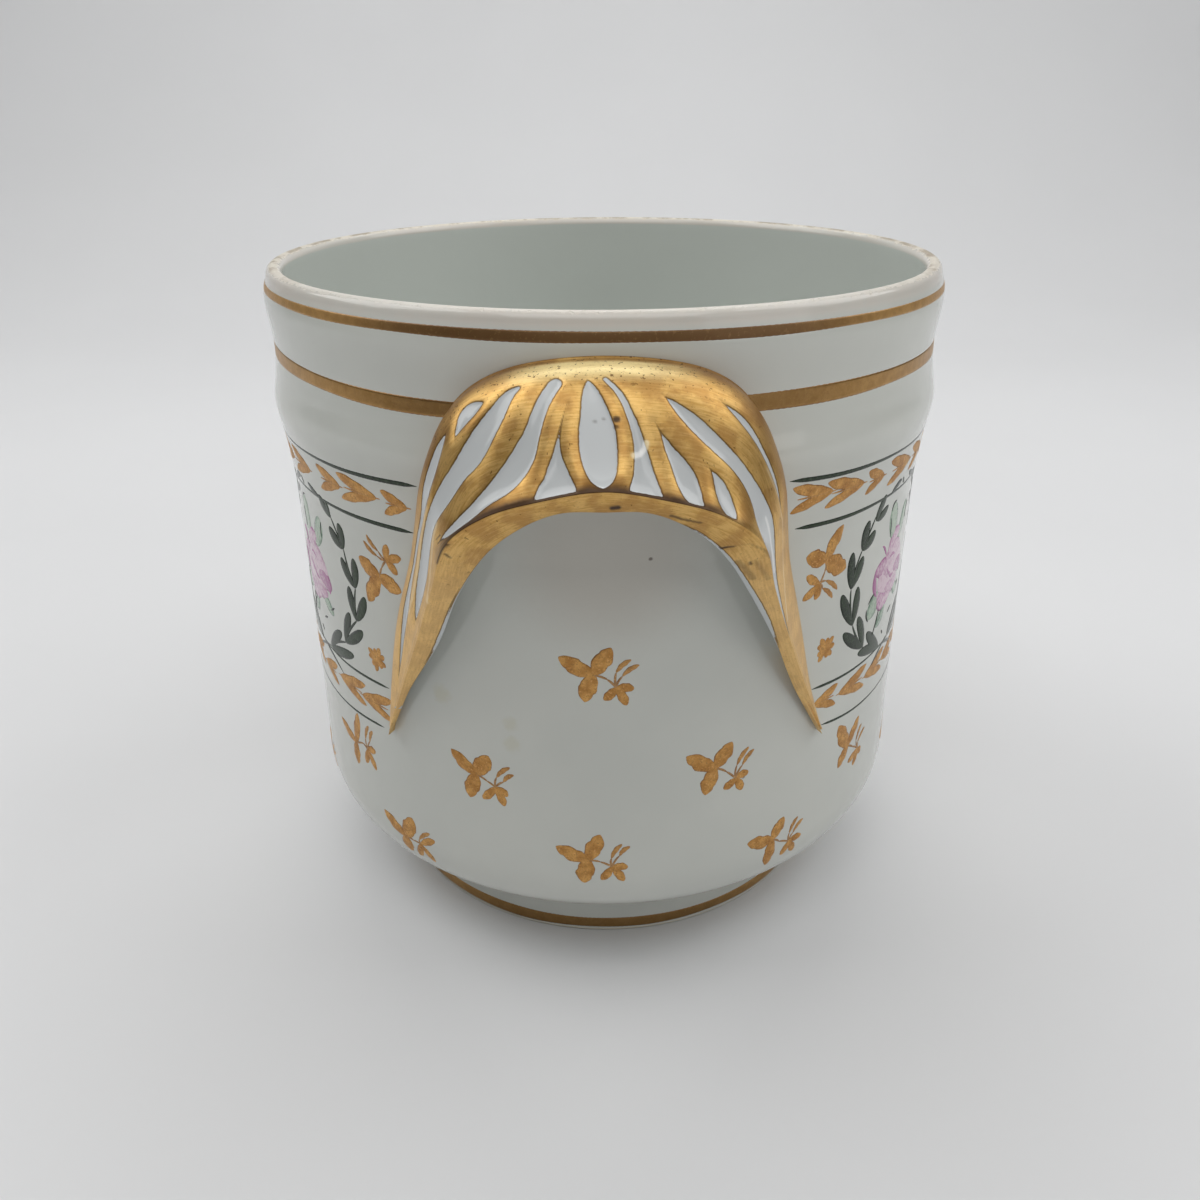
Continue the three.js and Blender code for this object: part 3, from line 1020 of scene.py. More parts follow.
@dataclass(frozen=True)
class LugHandle:
    """A moulded lug: a domed skin from the wall to a leaning front, open below.

    Rails on the wall are in degrees, those on the front in millimetres. A knot of a hollow
    is (along, out, half width), one of the bare widths is (along, width).
    """

    tip_height: float = 63.4
    tip_reach: float = 62.4
    front_lean: float = 0.534
    root_pull: float = 0.42
    ridge_pull: float = 0.3
    crease_flare: float = 0.35
    crown_lift: float = 0.04
    crown_spread: float = 0.32
    front_swell: float = 0.04
    palm_side: float = 1.04
    palm_reach: float = 1.07
    palm_drop: float = 0.02
    lip_corner: float = 0.8
    lip_corner_share: float = 0.35
    root_sunk: float = 0.15
    fillet: float = 0.9
    fillet_reach: float = 1.6
    fillet_end: float = 0.97
    hollow_depth: float = 0.28
    hollow_slope: float = 0.5
    hollow_trim: float = 0.2
    strand_rise: float = 0.3
    strand_slope: float = 0.8
    root_calm: float = 1.4
    ridge_calm: float = 1.0
    ridge_gold: float = 0.7
    ungilded: float = -9.0
    uncreased: float = 9.0
    front_grain: float = 90.0
    stations: int = 760
    skin_rows: int = 110
    front_rows: int = 16
    lip_rows: int = 5
    palm_rows: int = 16
    back_rows: int = 6
    root_rail: Rail = Rail((
        (38.9, 38.5, 63.4), (36.4, 34.3, 78.0), (33.1, 30.6, 95.0), (28.6, 26.9, 112.0),
        (24.9, 24.2, 128.5), (20.65, 20.3, 142.6), (12.2, 12.4, 150.4), (0.0, 0.0, 152.8),
    ))
    ridge_rail: Rail = Rail((
        (50.0, 50.0, 63.4), (44.2, 43.6, 79.5), (38.2, 37.4, 96.0), (32.9, 32.2, 111.0),
        (28.6, 28.4, 123.0), (20.8, 20.8, 129.9), (10.6, 10.6, 133.6), (0.0, 0.0, 135.6),
    ))
    lip_rail: Rail = Rail((
        (49.1, 48.6, 63.4), (42.2, 40.7, 79.0), (33.4, 34.1, 95.4), (27.7, 27.4, 109.6),
        (21.4, 21.2, 120.4), (14.6, 14.6, 126.9), (7.6, 7.6, 130.4), (0.0, 0.0, 130.6),
    ))
    heel_rail: Rail = Rail((
        (38.2, 38.1, 63.4), (34.3, 32.0, 80.0), (29.0, 27.3, 96.0), (24.2, 23.2, 110.0),
        (19.4, 19.0, 122.0), (14.0, 14.0, 134.0), (7.5, 7.5, 142.5), (0.0, 0.0, 146.0),
    ))
    hollows: tuple[Vein, ...] = (
        ((-0.286, 0.31, 0), (-0.33, 0.352, 1.35), (-0.40, 0.405, 1.55),
         (-0.455, 0.452, 0.7), (-0.52, 0.42, 0.65), (-0.585, 0.415, 0.55),
         (-0.66, 0.465, 1.05), (-0.74, 0.535, 0.55), (-0.835, 0.63, 0)),
        ((-0.186, 0.277, 0), (-0.213, 0.288, 1.4), (-0.232, 0.305, 1.6),
         (-0.252, 0.352, 0.8), (-0.272, 0.397, 0)),
        ((-0.115, 0.245, 0), (-0.138, 0.287, 1.0), (-0.18, 0.415, 1.9),
         (-0.245, 0.545, 2.5), (-0.30, 0.595, 2.05), (-0.36, 0.617, 2.15),
         (-0.43, 0.617, 1.7), (-0.51, 0.63, 1.95), (-0.58, 0.655, 1.9),
         (-0.63, 0.695, 1.2), (-0.677, 0.753, 0)),
        ((-0.068, 0.27, 1.2), (-0.092, 0.405, 1.25), (-0.119, 0.553, 1.45),
         (-0.156, 0.686, 2.2), (-0.209, 0.793, 2.2), (-0.27, 0.859, 1.5),
         (-0.333, 0.905, 1.3), (-0.395, 0.905, 0.8), (-0.445, 0.85, 0)),
        ((-0.055, 0.418, 0), (-0.077, 0.605, 0.25), (-0.087, 0.699, 0.65),
         (-0.095, 0.793, 1.6), (-0.102, 0.892, 2.6), (-0.11, 0.975, 3.7)),
        ((-0.023, 0.245, 0), (-0.019, 0.364, 1.45), (-0.015, 0.485, 2.35),
         (-0.012, 0.606, 3.1), (-0.010, 0.731, 3.1), (-0.005, 0.86, 2.25),
         (-0.002, 0.968, 0)),
        ((0.002, 0.25, 0.4), (0.022, 0.357, 0.5), (0.038, 0.477, 0.6),
         (0.054, 0.598, 0.8), (0.069, 0.722, 1.2), (0.083, 0.853, 1.9),
         (0.093, 0.975, 2.9)),
        ((0.079, 0.519, 0), (0.098, 0.596, 0.25), (0.119, 0.67, 0.8),
         (0.145, 0.738, 1.4), (0.171, 0.814, 1.9), (0.195, 0.903, 1.75),
         (0.215, 0.975, 1.0)),
        ((0.208, 0.706, 0), (0.228, 0.739, 0.4), (0.247, 0.781, 1.0),
         (0.264, 0.83, 1.4), (0.281, 0.884, 1.55), (0.299, 0.941, 1.3),
         (0.31, 0.985, 0.4)),
        ((0.084, 0.35, 0), (0.119, 0.438, 1.0), (0.16, 0.508, 1.4),
         (0.21, 0.57, 1.35), (0.27, 0.62, 1.3), (0.32, 0.66, 1.45),
         (0.365, 0.705, 2.05), (0.41, 0.775, 3.0), (0.45, 0.835, 3.2),
         (0.50, 0.865, 2.3), (0.56, 0.885, 1.6), (0.62, 0.92, 1.0), (0.71, 0.973, 0)),
        ((0.179, 0.297, 0), (0.21, 0.325, 0.4), (0.25, 0.358, 0.72),
         (0.31, 0.408, 0.5), (0.37, 0.432, 0.45), (0.44, 0.49, 0)),
    )
    bare_widths: tuple[Spot, ...] = (
        (-1.0, -9.0), (-0.93, -9.0), (-0.91, 0.1), (-0.84, 0.3), (-0.78, 0.5), (-0.74, 0.8),
        (-0.70, 1.1), (-0.66, 1.0), (-0.61, 0.8), (-0.55, 0.55), (-0.48, 0.3), (-0.36, -0.3),
        (0.2, -0.3),
        (0.26, 0.6), (0.3, 0.8), (0.4, 0.9), (0.5, 1.1), (0.6, 1.35), (0.65, 1.3), (0.72, 0.6),
        (0.78, 0.1), (0.8, -9.0), (1.0, -9.0),
    )
    marks: tuple[SkinMark, ...] = (
        SkinMark(((-0.484, 0.997), (-0.45, 0.995), (-0.432, 1.0), (-0.416, 1.03)), 0.26, 0.9),
        SkinMark(((-0.449, 1.13), (-0.455, 1.25)), 0.3, 0.8),
        SkinMark(((-0.45, 0.8), (-0.429, 0.827)), 0.25, 0.9),
        SkinMark(((-0.451, 0.853), (-0.427, 0.887)), 0.22, 0.8),
        SkinMark(((-0.329, 0.427), (-0.395, 0.483), (-0.439, 0.473), (-0.508, 0.457),
                  (-0.591, 0.483), (-0.64, 0.523)), 0.2, 0.6),
        SkinMark(((0.381, 2.0), (0.4, 1.9), (0.399, 1.72), (0.402, 1.58)), 0.3, 0.9),
        SkinMark(((0.402, 1.58), (0.407, 1.25), (0.445, 1.03), (0.469, 1.0)), 0.24, 0.4),
        SkinMark(((0.461, 1.78), (0.485, 1.7), (0.518, 1.63)), 0.7, 0.4),
        SkinMark(((0.468, 1.37), (0.502, 1.28), (0.53, 1.17)), 0.5, 0.25),
        SkinMark(((0.468, 1.5), (0.474, 1.51)), 0.36, 0.9),
        SkinMark(((0.195, 1.73), (0.222, 1.72), (0.248, 1.65), (0.271, 1.55)), 0.32, 0.75),
        SkinMark(((0.023, 1.69), (0.037, 1.65)), 0.55),
        SkinMark(((0.019, 0.523), (0.021, 0.523)), 0.55, 0.95),
        SkinMark(((0.019, 0.57), (0.021, 0.57)), 0.36, 0.6),
        SkinMark(((-0.016, 0.53), (-0.014, 0.53)), 0.36, 0.5),
        SkinMark(((-0.002, 0.517), (0.0, 0.517)), 0.32, 0.5),
        # Light marks: painted highlights along edges and ridges of the gold, and a painted lamp
        # reflection.
        SkinMark(((-0.424, 0.713), (-0.45, 0.73), (-0.497, 0.797), (-0.554, 0.863),
                  (-0.6, 0.97)), 0.55, 0.6, True),
        SkinMark(((-0.422, 0.507), (-0.501, 0.507), (-0.58, 0.53), (-0.631, 0.57),
                  (-0.667, 0.553)), 0.42, 0.55, True),
        SkinMark(((0.34, 0.47), (0.39, 0.487), (0.455, 0.51), (0.54, 0.583), (0.584, 0.627),
                  (0.625, 0.72), (0.669, 0.823)), 0.36, 0.6, True),
        SkinMark(((0.406, 0.717), (0.472, 0.783), (0.542, 0.807)), 0.4, 0.5, True),
        SkinMark(((0.055, 0.73), (0.066, 0.717), (0.073, 0.677), (0.073, 0.647)), 0.5, 1.0, True),
    )

    def on_front(self, side: Array, height: Array) -> Array:
        """A point on the lug's leaning front."""
        reach = self.tip_reach + self.front_lean * (height - self.tip_height)
        return np.stack([side, -reach, height], -1)

    def skin(self, body: PotBody, along: Array, out: Array) -> Array:
        """The smooth skin before its hollows are pressed.

        Args:
            body: The wall that the lug grows from.
            along: Places along the lug, from -1 to 1.
            out: Places across it, from 0 at the root to 1 at the ridge.

        Returns:
            Points on the skin.
        """
        root = body.point(*self.root_rail.at(along), -self.root_sunk)
        ridge = self.on_front(*self.ridge_rail.at(along))
        outward = unit(root * (1, 1, 0))
        span = length(ridge - root)
        crowning = np.exp(-((along / self.crown_spread) ** 2))[..., None]
        lifted = self.crown_lift * span * crowning * np.array((0, 0, 1.0))
        flare = unit(unit(ridge - root) + outward * self.crease_flare)
        return bezier(
            [root, root + outward * self.root_pull * span + lifted,
             ridge - flare * self.ridge_pull * span, ridge], out,
        )

    def hollow_distance(self, body: PotBody, skin: Array) -> Array:
        """Distance from points on the skin to the nearest hollow's edge.

        Args:
            body: The wall that the lug grows from.
            skin: The points.

        Returns:
            Millimetres, below zero inside a hollow.
        """
        gaps = []
        for vein in self.hollows:
            along, out, half = catmull_rom(np.array(vein, float), np.linspace(0, 1, 6 * len(vein))).T
            half = np.maximum(half, 0.0)
            half = half - self.hollow_trim * ease(0.5, 0.0, half)
            gaps.append(line_gap(skin, self.skin(body, along, out), half))
        return np.minimum.reduce(gaps)

    def bare_lip(self, along: Array) -> Array:
        """Width of the lip that is left white under the gold, below zero where gold wraps it."""
        places, widths = np.array(self.bare_widths).T
        return np.interp(along, places, widths)

    def marked(self, points: Array, body: PotBody, light: bool) -> Array:
        """How strongly points on the lug are touched by its marks, from 0 to 1.

        Args:
            points: The points.
            body: The wall that the lug grows from.
            light: Whether the light marks, which are painted highlights, are meant, and not the dark
                ones.

        Returns:
            The strength at each point.
        """
        touched = np.zeros(points.shape[:-1])
        for mark in (mark for mark in self.marks if mark.light == light):
            along, out = np.array(mark.line, float).T
            ridge = self.on_front(*self.ridge_rail.at(along))
            lip = self.on_front(*self.lip_rail.at(along))
            front = ridge + (lip - ridge) * (out - 1)[:, None]
            line = np.where(out[:, None] > 1, front, self.skin(body, along, np.minimum(out, 1)))
            gap = line_gap(points, line, np.zeros(len(line)))
            touched = np.maximum(touched, mark.strength * ease(1.45, 0.6, gap / mark.half_width))
        return touched

    def lines(self, body: PotBody) -> LugLines:
        """Works out the lines of all sections."""
        along = np.linspace(-1, 1, self.stations + 1)[:, None]
        out = np.linspace(0, 1, self.skin_rows + 1)[None, :]
        return LugLines(
            along=along,
            smooth=self.skin(body, *np.broadcast_arrays(along, out)),
            lip=self.on_front(*self.lip_rail.at(along)),
            heel=body.point(*self.heel_rail.at(along), -self.root_sunk),
        )

    def pressed(self, lines: LugLines, distance: Array) -> Array:
        """The skin with its hollows pressed in and its root spread on the wall.

        Args:
            lines: The lug's lines.
            distance: Distance to the nearest hollow's edge.

        Returns:
            Points on the skin.
        """
        skin = lines.smooth
        normal = unit(np.cross(np.gradient(skin, axis=0), np.gradient(skin, axis=1)))
        normal *= np.sign((normal * unit(skin * (1, 1, 0))).sum(-1, keepdims=True).mean())
        strand = self.strand_rise * (1 - np.exp(-np.maximum(distance, 0) / self.strand_slope))
        hollow = self.hollow_depth * (1 - np.exp(np.minimum(distance, 0) / self.hollow_slope))
        relief = (strand - hollow) * ease(0.0, self.root_calm, lines.from_root)
        relief = relief * ease(0.0, self.ridge_calm, lines.from_ridge)
        spread = self.fillet * np.clip(1 - lines.from_root / self.fillet_reach, 0, 1) ** 2
        spread = spread * ease(1.0, self.fillet_end, np.abs(lines.along))
        away = unit(lines.root - lines.heel)
        return skin + normal * relief[..., None] + away * spread[..., None]

    def front(self, lines: LugLines, corner: Array) -> Array:
        """The front, from the ridge to the corner that turns under the lip.

        Args:
            lines: The lug's lines.
            corner: How far before the lip it starts to turn.

        Returns:
            Points on the front.
        """
        width = length(lines.ridge - lines.lip)
        near_lip = lines.lip + (lines.ridge - lines.lip) * corner[..., None] / width
        share = np.linspace(0, 1, self.front_rows + 1)[1:]
        front = lines.ridge + (near_lip - lines.ridge) * share[None, :, None]
        front[..., 1] -= self.front_swell * width[..., 0] * 4 * share * (1 - share)
        return front

    def underside(self, lines: LugLines, corner: Array, near_lip: Array) -> tuple[Array, Array]:
        """The rounded lip and the hollow palm behind it.

        Args:
            lines: The lug's lines.
            corner: How far before the lip the corner starts to turn.
            near_lip: The front's last points.

        Returns:
            Points on the lip and on the palm.
        """
        lip, heel = lines.lip, lines.heel
        palm = heel * (self.palm_side, self.palm_reach, 1.0)
        palm[..., 2] -= self.palm_drop * length(heel - lip)[..., 0]
        start = corner / (2 * length(palm - lip)[..., 0])
        turn = np.linspace(0, 1, self.lip_rows + 1)[1:]
        past_lip = bezier([lip, palm, heel], start)
        turns = np.broadcast_to(turn, (len(lip), self.lip_rows))
        share = np.linspace(0, 1, self.palm_rows + 1)[1:]
        hollow = bezier([lip, palm, heel], start + (1 - start) * share[None, :])
        return bezier([near_lip, lip, past_lip], turns), hollow

    def back(self, body: PotBody, along: Array) -> Array:
        """The back, which is sunk in the wall from the heel up to the root."""
        heel, root = (np.stack(rail.at(along), -1) for rail in (self.heel_rail, self.root_rail))
        share = np.linspace(0, 1, self.back_rows + 1)[1:-1][None, :, None]
        degrees, height = np.moveaxis(heel + (root - heel) * share, -1, 0)
        return body.point(degrees, height, -self.root_sunk)

    def sections(self, body: PotBody) -> tuple[Array, dict[str, Array]]:
        """All sections of the lug, with the distances that its gilding needs.

        Args:
            body: The wall that the lug grows from.

        Returns:
            Points (station, place round the section) and the values on them.
        """
        lines = self.lines(body)
        distance = self.hollow_distance(body, lines.smooth)
        width = length(lines.ridge - lines.lip)[..., 0]
        corner = np.minimum(self.lip_corner, self.lip_corner_share * width)
        skin = self.pressed(lines, distance)
        front = self.front(lines, corner)
        rounded, palm = self.underside(lines, corner, front[:, -1:])
        back = self.back(body, lines.along)
        around = np.concatenate([skin, front, rounded, palm, back], 1)

        bare = self.bare_lip(lines.along)
        past_ridge = length(front - lines.ridge)[..., 0]
        gilt = [
            np.maximum(distance, self.ridge_gold - lines.from_ridge),
            np.minimum(length(front - lines.lip)[..., 0] - bare, self.ridge_gold + past_ridge),
            -bare + np.linspace(corner[:, 0], -corner[:, 0], self.lip_rows, axis=1),
            -bare - length(palm - lines.lip)[..., 0],
            np.full(back.shape[:2], self.ungilded),
        ]
        run = run_lengths(skin[:, self.skin_rows // 2])[:, None]
        values = {
            "gilt": np.concatenate(gilt, 1),
            "crease": lines.from_ridge,
            "mark": np.concatenate([self.marked(part, body, False) for part in (skin, front)], 1),
            "glint": np.concatenate([self.marked(part, body, True) for part in (skin, front)], 1),
            "along": lines.along,
            "grain_along": run,
            "grain_out": np.concatenate([lines.from_root, self.front_grain + past_ridge], 1),
        }
        fill = {"crease": self.uncreased, "mark": 0.0, "glint": 0.0}
        return around, {name: self.filled(value, around.shape[1], fill.get(name))
                        for name, value in values.items()}

    @staticmethod
    def filled(value: Array, columns: int, fill: float | None) -> Array:
        """Widens a value to the whole section.

        Args:
            value: The value on the first points of each section.
            columns: How many points a section has.
            fill: What the rest gets, or None to repeat the last point's value.

        Returns:
            The value on all points.
        """
        rest = (len(value), columns - value.shape[1])
        last = value[:, -1:] if fill is None else fill
        return np.concatenate([value, np.broadcast_to(last, rest)], 1)

    def build(self, body: PotBody, gilt: bpy.types.Material) -> None:
        """Makes the front lug and the rear one, each in place of its CAD node."""
        points, values = self.sections(body)
        rows, columns = points.shape[:2]
        faces = grid_faces(rows, columns, round_columns=True)
        faces += [list(range(columns)), list(range((rows - 1) * columns, rows * columns))]
        for name, node, turned in (("front_lug", "front_handle", (1, 1, 1)),
                                   ("rear_lug", "rear_handle", (-1, -1, 1))):
            work = MeshWork()
            work.add(points * turned, faces, **values)
            work.piece(name, gilt, Slot.GILT, node)


@dataclass(frozen=True)
class Place:
    """Where a motif is painted on the wall, and how it is turned."""

    degrees: float
    height: float
    turn: float = 0.0
    flip: bool = False

    def spot(self, surface: TurnedSurface, side: Array, up: Array) -> tuple[Array, Array]:
        """Moves a motif's own points to the wall.

        Args:
            surface: The painted surface.
            side: Millimetres to the right of the motif's middle.
            up: Millimetres above it.

        Returns:
            Angles and heights.
        """
        angle = math.radians(self.turn)
        side = -side if self.flip else side
        across = side * math.cos(angle) - up * math.sin(angle)
        height = self.height + side * math.sin(angle) + up * math.cos(angle)
        return self.degrees + np.degrees(across / surface.radius(height)), height


@dataclass(frozen=True)
class Stroke:
    """One touch of the brush, from base to tip, in millimetres on its motif."""

    base: Spot
    tip: Spot
    half_width: float
    bend: float = 0.0
    belly: float = 0.5
    blunt: float = 0.7
    notch: float = 0.0
    taper: float = 0.0
    ragged: float = 0.0
    tone: float = 0.5
    steps: int = 20
    hair: float = 0.04
    full_from: float = 0.4
    # How much darker the up-left edges are: partly thicker enamel, partly painted shade.
    pooling_and_shade: float = 0.12
    margin: float = 0.6
    right_notch: Span = (0.7, 0.07)
    left_notch: Span = (0.45, 0.08)

    def outline(self, t: Array, v: Array) -> Array:
        """How much of the brush's width is left along the stroke's ragged, notched edge.

        Args:
            t: Places along the stroke, from 0 at its base to 1 at its tip.
            v: Places across it, from -1 to 1.

        Returns:
            The share of the width.
        """
        right, left = (np.exp(-(((t - middle) / reach) ** 2))
                       for middle, reach in (self.right_notch, self.left_notch))
        bite = 1 - self.notch * np.where(v > 0, right, 0.7 * left)
        phase = 5 * self.tip[0] + 3 * self.tip[1] + 2 * v
        bite = bite * (1 + self.ragged * np.sin(17 * t + phase))
        return np.where(np.abs(v) > self.margin, bite, 1.0)

    def grid(self, columns: int) -> tuple[Array, Array, Array, Array]:
        """Points over the stroke.

        Args:
            columns: Points across it.

        Returns:
            Side and height on the motif, how near the outline each point is, and
            how full the stroke is there.
        """
        t = (1 - np.cos(np.linspace(0, math.pi, self.steps)[:, None])) / 2
        v = np.linspace(-1, 1, columns)[None, :]
        rising = np.sin(math.pi / 2 * np.clip(t / self.belly, 0, 1))
        falling = np.cos(math.pi / 2 * np.clip((t - self.belly) / (1 - self.belly), 0, 1))
        full = rising**self.blunt * np.maximum(falling, 0) ** (self.blunt + self.taper)
        wide = np.maximum(self.half_width * full, self.hair) * self.outline(t, v)
        base, tip = np.array(self.base), np.array(self.tip)
        line = unit(tip - base)
        across = np.array((-line[1], line[0]))
        bow = self.bend * 4 * t * (1 - t)
        centre = base + (tip - base) * t[..., None]
        points = centre + across * (bow + wide * v)[..., None]
        thick = np.clip(full / self.full_from, 0, 1)
        # Edges facing up and left are darker: partly pooled enamel, partly painted shade.
        upper_left = np.sign(v) * (across @ (-0.7, 0.7))
        pooled = 1 - self.pooling_and_shade + self.pooling_and_shade * upper_left
        edge = np.maximum(np.abs(v) ** 2 * pooled, 1 - thick)
        return points[..., 0], points[..., 1], edge, (1 - np.abs(v) ** 3) * thick


@dataclass
class EnamelWork:
    """Thin closed patches of fired colour on a turned surface, gathered into one piece."""

    surface: TurnedSurface
    rise: float = 0.07
    sunk: float = 0.012
    backing: float = 0.14
    columns: int = 7
    work: MeshWork = field(default_factory=MeshWork)

    def patch(self, degrees: Array, heights: Array, fullness: Array, round_rows: bool = False,
              **values: Array) -> None:
        """Adds one closed patch.

        Args:
            degrees: Angles of its grid of points.
            heights: Heights of its grid of points.
            fullness: Its thickness there, from 0 to 1.
            round_rows: Whether it goes right round the pot.
            values: Numbers on its points, by name.
        """
        lift = (self.rise + self.sunk) * fullness - self.sunk
        top = self.surface.point(degrees, heights, lift)
        bottom = self.surface.point(degrees, heights, -self.backing)
        rows, columns = degrees.shape
        count = rows * columns
        upper = grid_faces(rows, columns, round_rows=round_rows)
        lower = [face[::-1] for face in grid_faces(rows, columns, count, round_rows)]
        numbers = np.arange(count).reshape(rows, columns)
        if round_rows:
            loops = [numbers[:, 0], numbers[::-1, -1]]
        else:
            loops = [np.concatenate([numbers[0, :-1], numbers[:-1, -1],
                                     numbers[-1, :0:-1], numbers[:0:-1, 0]])]
        sides = []
        for loop in loops:
            following = np.roll(loop, -1)
            sides += np.stack([loop, following, following + count, loop + count], -1).tolist()
        both = {name: np.concatenate([v.ravel(), v.ravel()]) for name, v in values.items()}
        self.work.add(np.concatenate([top.reshape(-1, 3), bottom.reshape(-1, 3)]),
                      upper + lower + sides, **both)

    def paint(self, place: Place, strokes: Iterable[Stroke]) -> None:
        """Paints a motif's strokes at a place."""
        for stroke in strokes:
            side, up, edge, fullness = stroke.grid(self.columns)
            degrees, heights = place.spot(self.surface, side, up)
            tone = np.full(edge.shape, stroke.tone)
            self.patch(degrees, heights, fullness, edge=edge, tone=tone)

    def ribbon(self, degrees: Array, heights: Array, half_widths: Array,
               tone: Array | float = 0.5, closed: bool = False) -> None:
        """Paints a line round the pot.

        Args:
            degrees: Angles of its stations.
            heights: Heights of its middle there.
            half_widths: Half its width there.
            tone: Its tone there, from 0 to 1.
            closed: Whether it goes right round.
        """
        v = np.linspace(-1, 1, self.columns)[None, :]
        angle = degrees[:, None] + 0 * v
        height = heights[:, None] + half_widths[:, None] * v
        edge = np.abs(v) ** 2 + 0 * angle
        tones = np.broadcast_to(np.reshape(tone, (-1, 1)), edge.shape)
        self.patch(angle, height, 1 - np.abs(v) ** 3 + 0 * angle, closed, edge=edge, tone=tones)

    def piece(self, name: str, material: bpy.types.Material, slot: Slot) -> None:
        """Ends the work as one piece."""
        self.work.piece(name, material, slot)


@dataclass(frozen=True)
class GoldBands:
    """Bands of gold round the rim, the cove and the foot.

    The cove's band stops at the lugs, and each of its two arcs may drift upwards. A pair
    of phases sets how a band wavers in height and in width.
    """

    rise: float = 0.05
    rim_middle: float = 156.7
    rim_half: float = 1.02
    rim_tilt: float = 0.4
    rim_phases: Spot = (0.4, 1.9)
    cove_middle: float = 142.85
    cove_half: float = 1.76
    cove_phases: Spot = (2.3, 0.7)
    cove_from: float = 18.6
    cove_climb: float = 0.5
    cove_arcs: tuple[Spot, ...] = ((90.0, 0.0), (270.0, 1.65))
    drift_level: float = 0.27
    drift_window: Span = (0.2, 0.9)
    foot_middle: float = 2.8
    foot_half: float = 1.68
    foot_phases: Spot = (1.1, 2.9)
    waver: float = 0.07
    full_tone: float = 0.42
    thin_tone: float = 0.15

    def waving(self, degrees: Array, phase: float) -> Array:
        """How far the banding wheel let the brush wander."""
        angle = np.radians(degrees)
        return self.waver * (np.sin(3 * angle + phase) + 0.6 * np.sin(11 * angle + 2 * phase))

    def tones(self, degrees: Array) -> Array:
        """Tones of a band, which is thinner where the lugs are in the brush's way."""
        near_lug = ease(0.85, 0.3, np.abs(np.sin(np.radians(degrees))))
        return self.full_tone - (self.full_tone - self.thin_tone) * near_lug

    def band(self, work: EnamelWork, degrees: Array, heights: Array | float, half: float,
             phases: Spot, closed: bool = True) -> None:
        """Paints one band.

        Args:
            work: The work that it is painted in.
            degrees: Angles of its stations.
            heights: Heights of its middle, before the brush wavers.
            half: Half its width.
            phases: Phases of its wavering in height and in width.
            closed: Whether it goes right round.
        """
        middle = heights + self.waving(degrees, phases[0])
        widths = half * (1 + self.waving(degrees, phases[1]))
        work.ribbon(degrees, middle, widths, self.tones(degrees), closed)

    def build(self, body: PotBody, foot: FootRing, gold: bpy.types.Material,
              dark_gold: bpy.types.Material) -> None:
        """Paints the three bands.

        Args:
            body: The wall that the rim and cove bands are on.
            foot: The ring that the foot band is on.
            gold: The finish of the cove's and the foot's band.
            dark_gold: The finish of the rim's.
        """
        full = np.arange(0, 360, 1.0)
        rim, cove, base = (EnamelWork(part, rise=self.rise) for part in (body, body, foot))
        tilted = self.rim_middle - self.rim_tilt * np.sin(np.radians(full))
        self.band(rim, full, tilted, self.rim_half, self.rim_phases)
        rim.piece("rim_gold_line", dark_gold, Slot.GOLD)
        share = np.linspace(-1, 1, 150)
        for middle, drift in self.cove_arcs:
            drifted = drift * (self.drift_level - ease(*self.drift_window, share))
            climb = self.cove_climb + drifted
            self.band(cove, middle + (90.0 - self.cove_from) * share, self.cove_middle + climb,
                      self.cove_half, self.cove_phases, closed=False)
        cove.piece("cove_gold_band", gold, Slot.GOLD)
        self.band(base, full, self.foot_middle, self.foot_half, self.foot_phases)
        base.piece("foot_gold_band", gold, Slot.GOLD)


@dataclass(frozen=True)
class BorderLines:
    """Green lines above and below the two garlands, from lug to lug.

    Each run has its first and last angle, its height there first, in the middle and
    last, and its weight. The brush is pressed towards the ends and lifted at them.
    """

    thickest: float = 0.58
    thinnest: float = 0.34
    hair: float = 0.05
    pressing: Span = (0.5, 0.92)
    lifting: Span = (1.0, 0.955)
    long_wander: float = 0.12
    short_wander: float = 0.06
    rise: float = 0.04
    tone: float = 0.4
    runs: tuple[tuple[float, ...], ...] = (
        (26.7, 152.7, 126.9, 125.5, 126.1, 1.0), (29.1, 150.6, 115.9, 114.9, 115.2, 0.95),
        (35.9, 141.6, 74.9, 73.9, 74.3, 0.68), (39.1, 139.1, 63.7, 61.8, 62.5, 0.64),
    )

    def build(self, body: PotBody, green: bpy.types.Material) -> None:
        """Paints the lines of both sides."""
        t = np.linspace(-1, 1, 160)
        reach = np.abs(t)
        press = self.thinnest + (self.thickest - self.thinnest) * ease(*self.pressing, reach)
        press = press * np.sqrt(ease(*self.lifting, reach))
        for side, offset in SIDES:
            work = EnamelWork(body, rise=self.rise)
            for first, last, first_height, middle_height, last_height, weight in self.runs:
                end_height = np.where(t < 0, first_height, last_height)
                heights = middle_height + (end_height - middle_height) * reach**5
                hand = self.long_wander * np.sin(5 * t + first)
                hand = hand + self.short_wander * np.sin(17 * t + offset)
                degrees = offset + (first + last) / 2 + (last - first) / 2 * t
                half = np.maximum(weight * press, self.hair)
                work.ribbon(degrees, heights + hand, half, self.tone)
            work.piece(f"{side}_border_lines", green, Slot.GREEN)


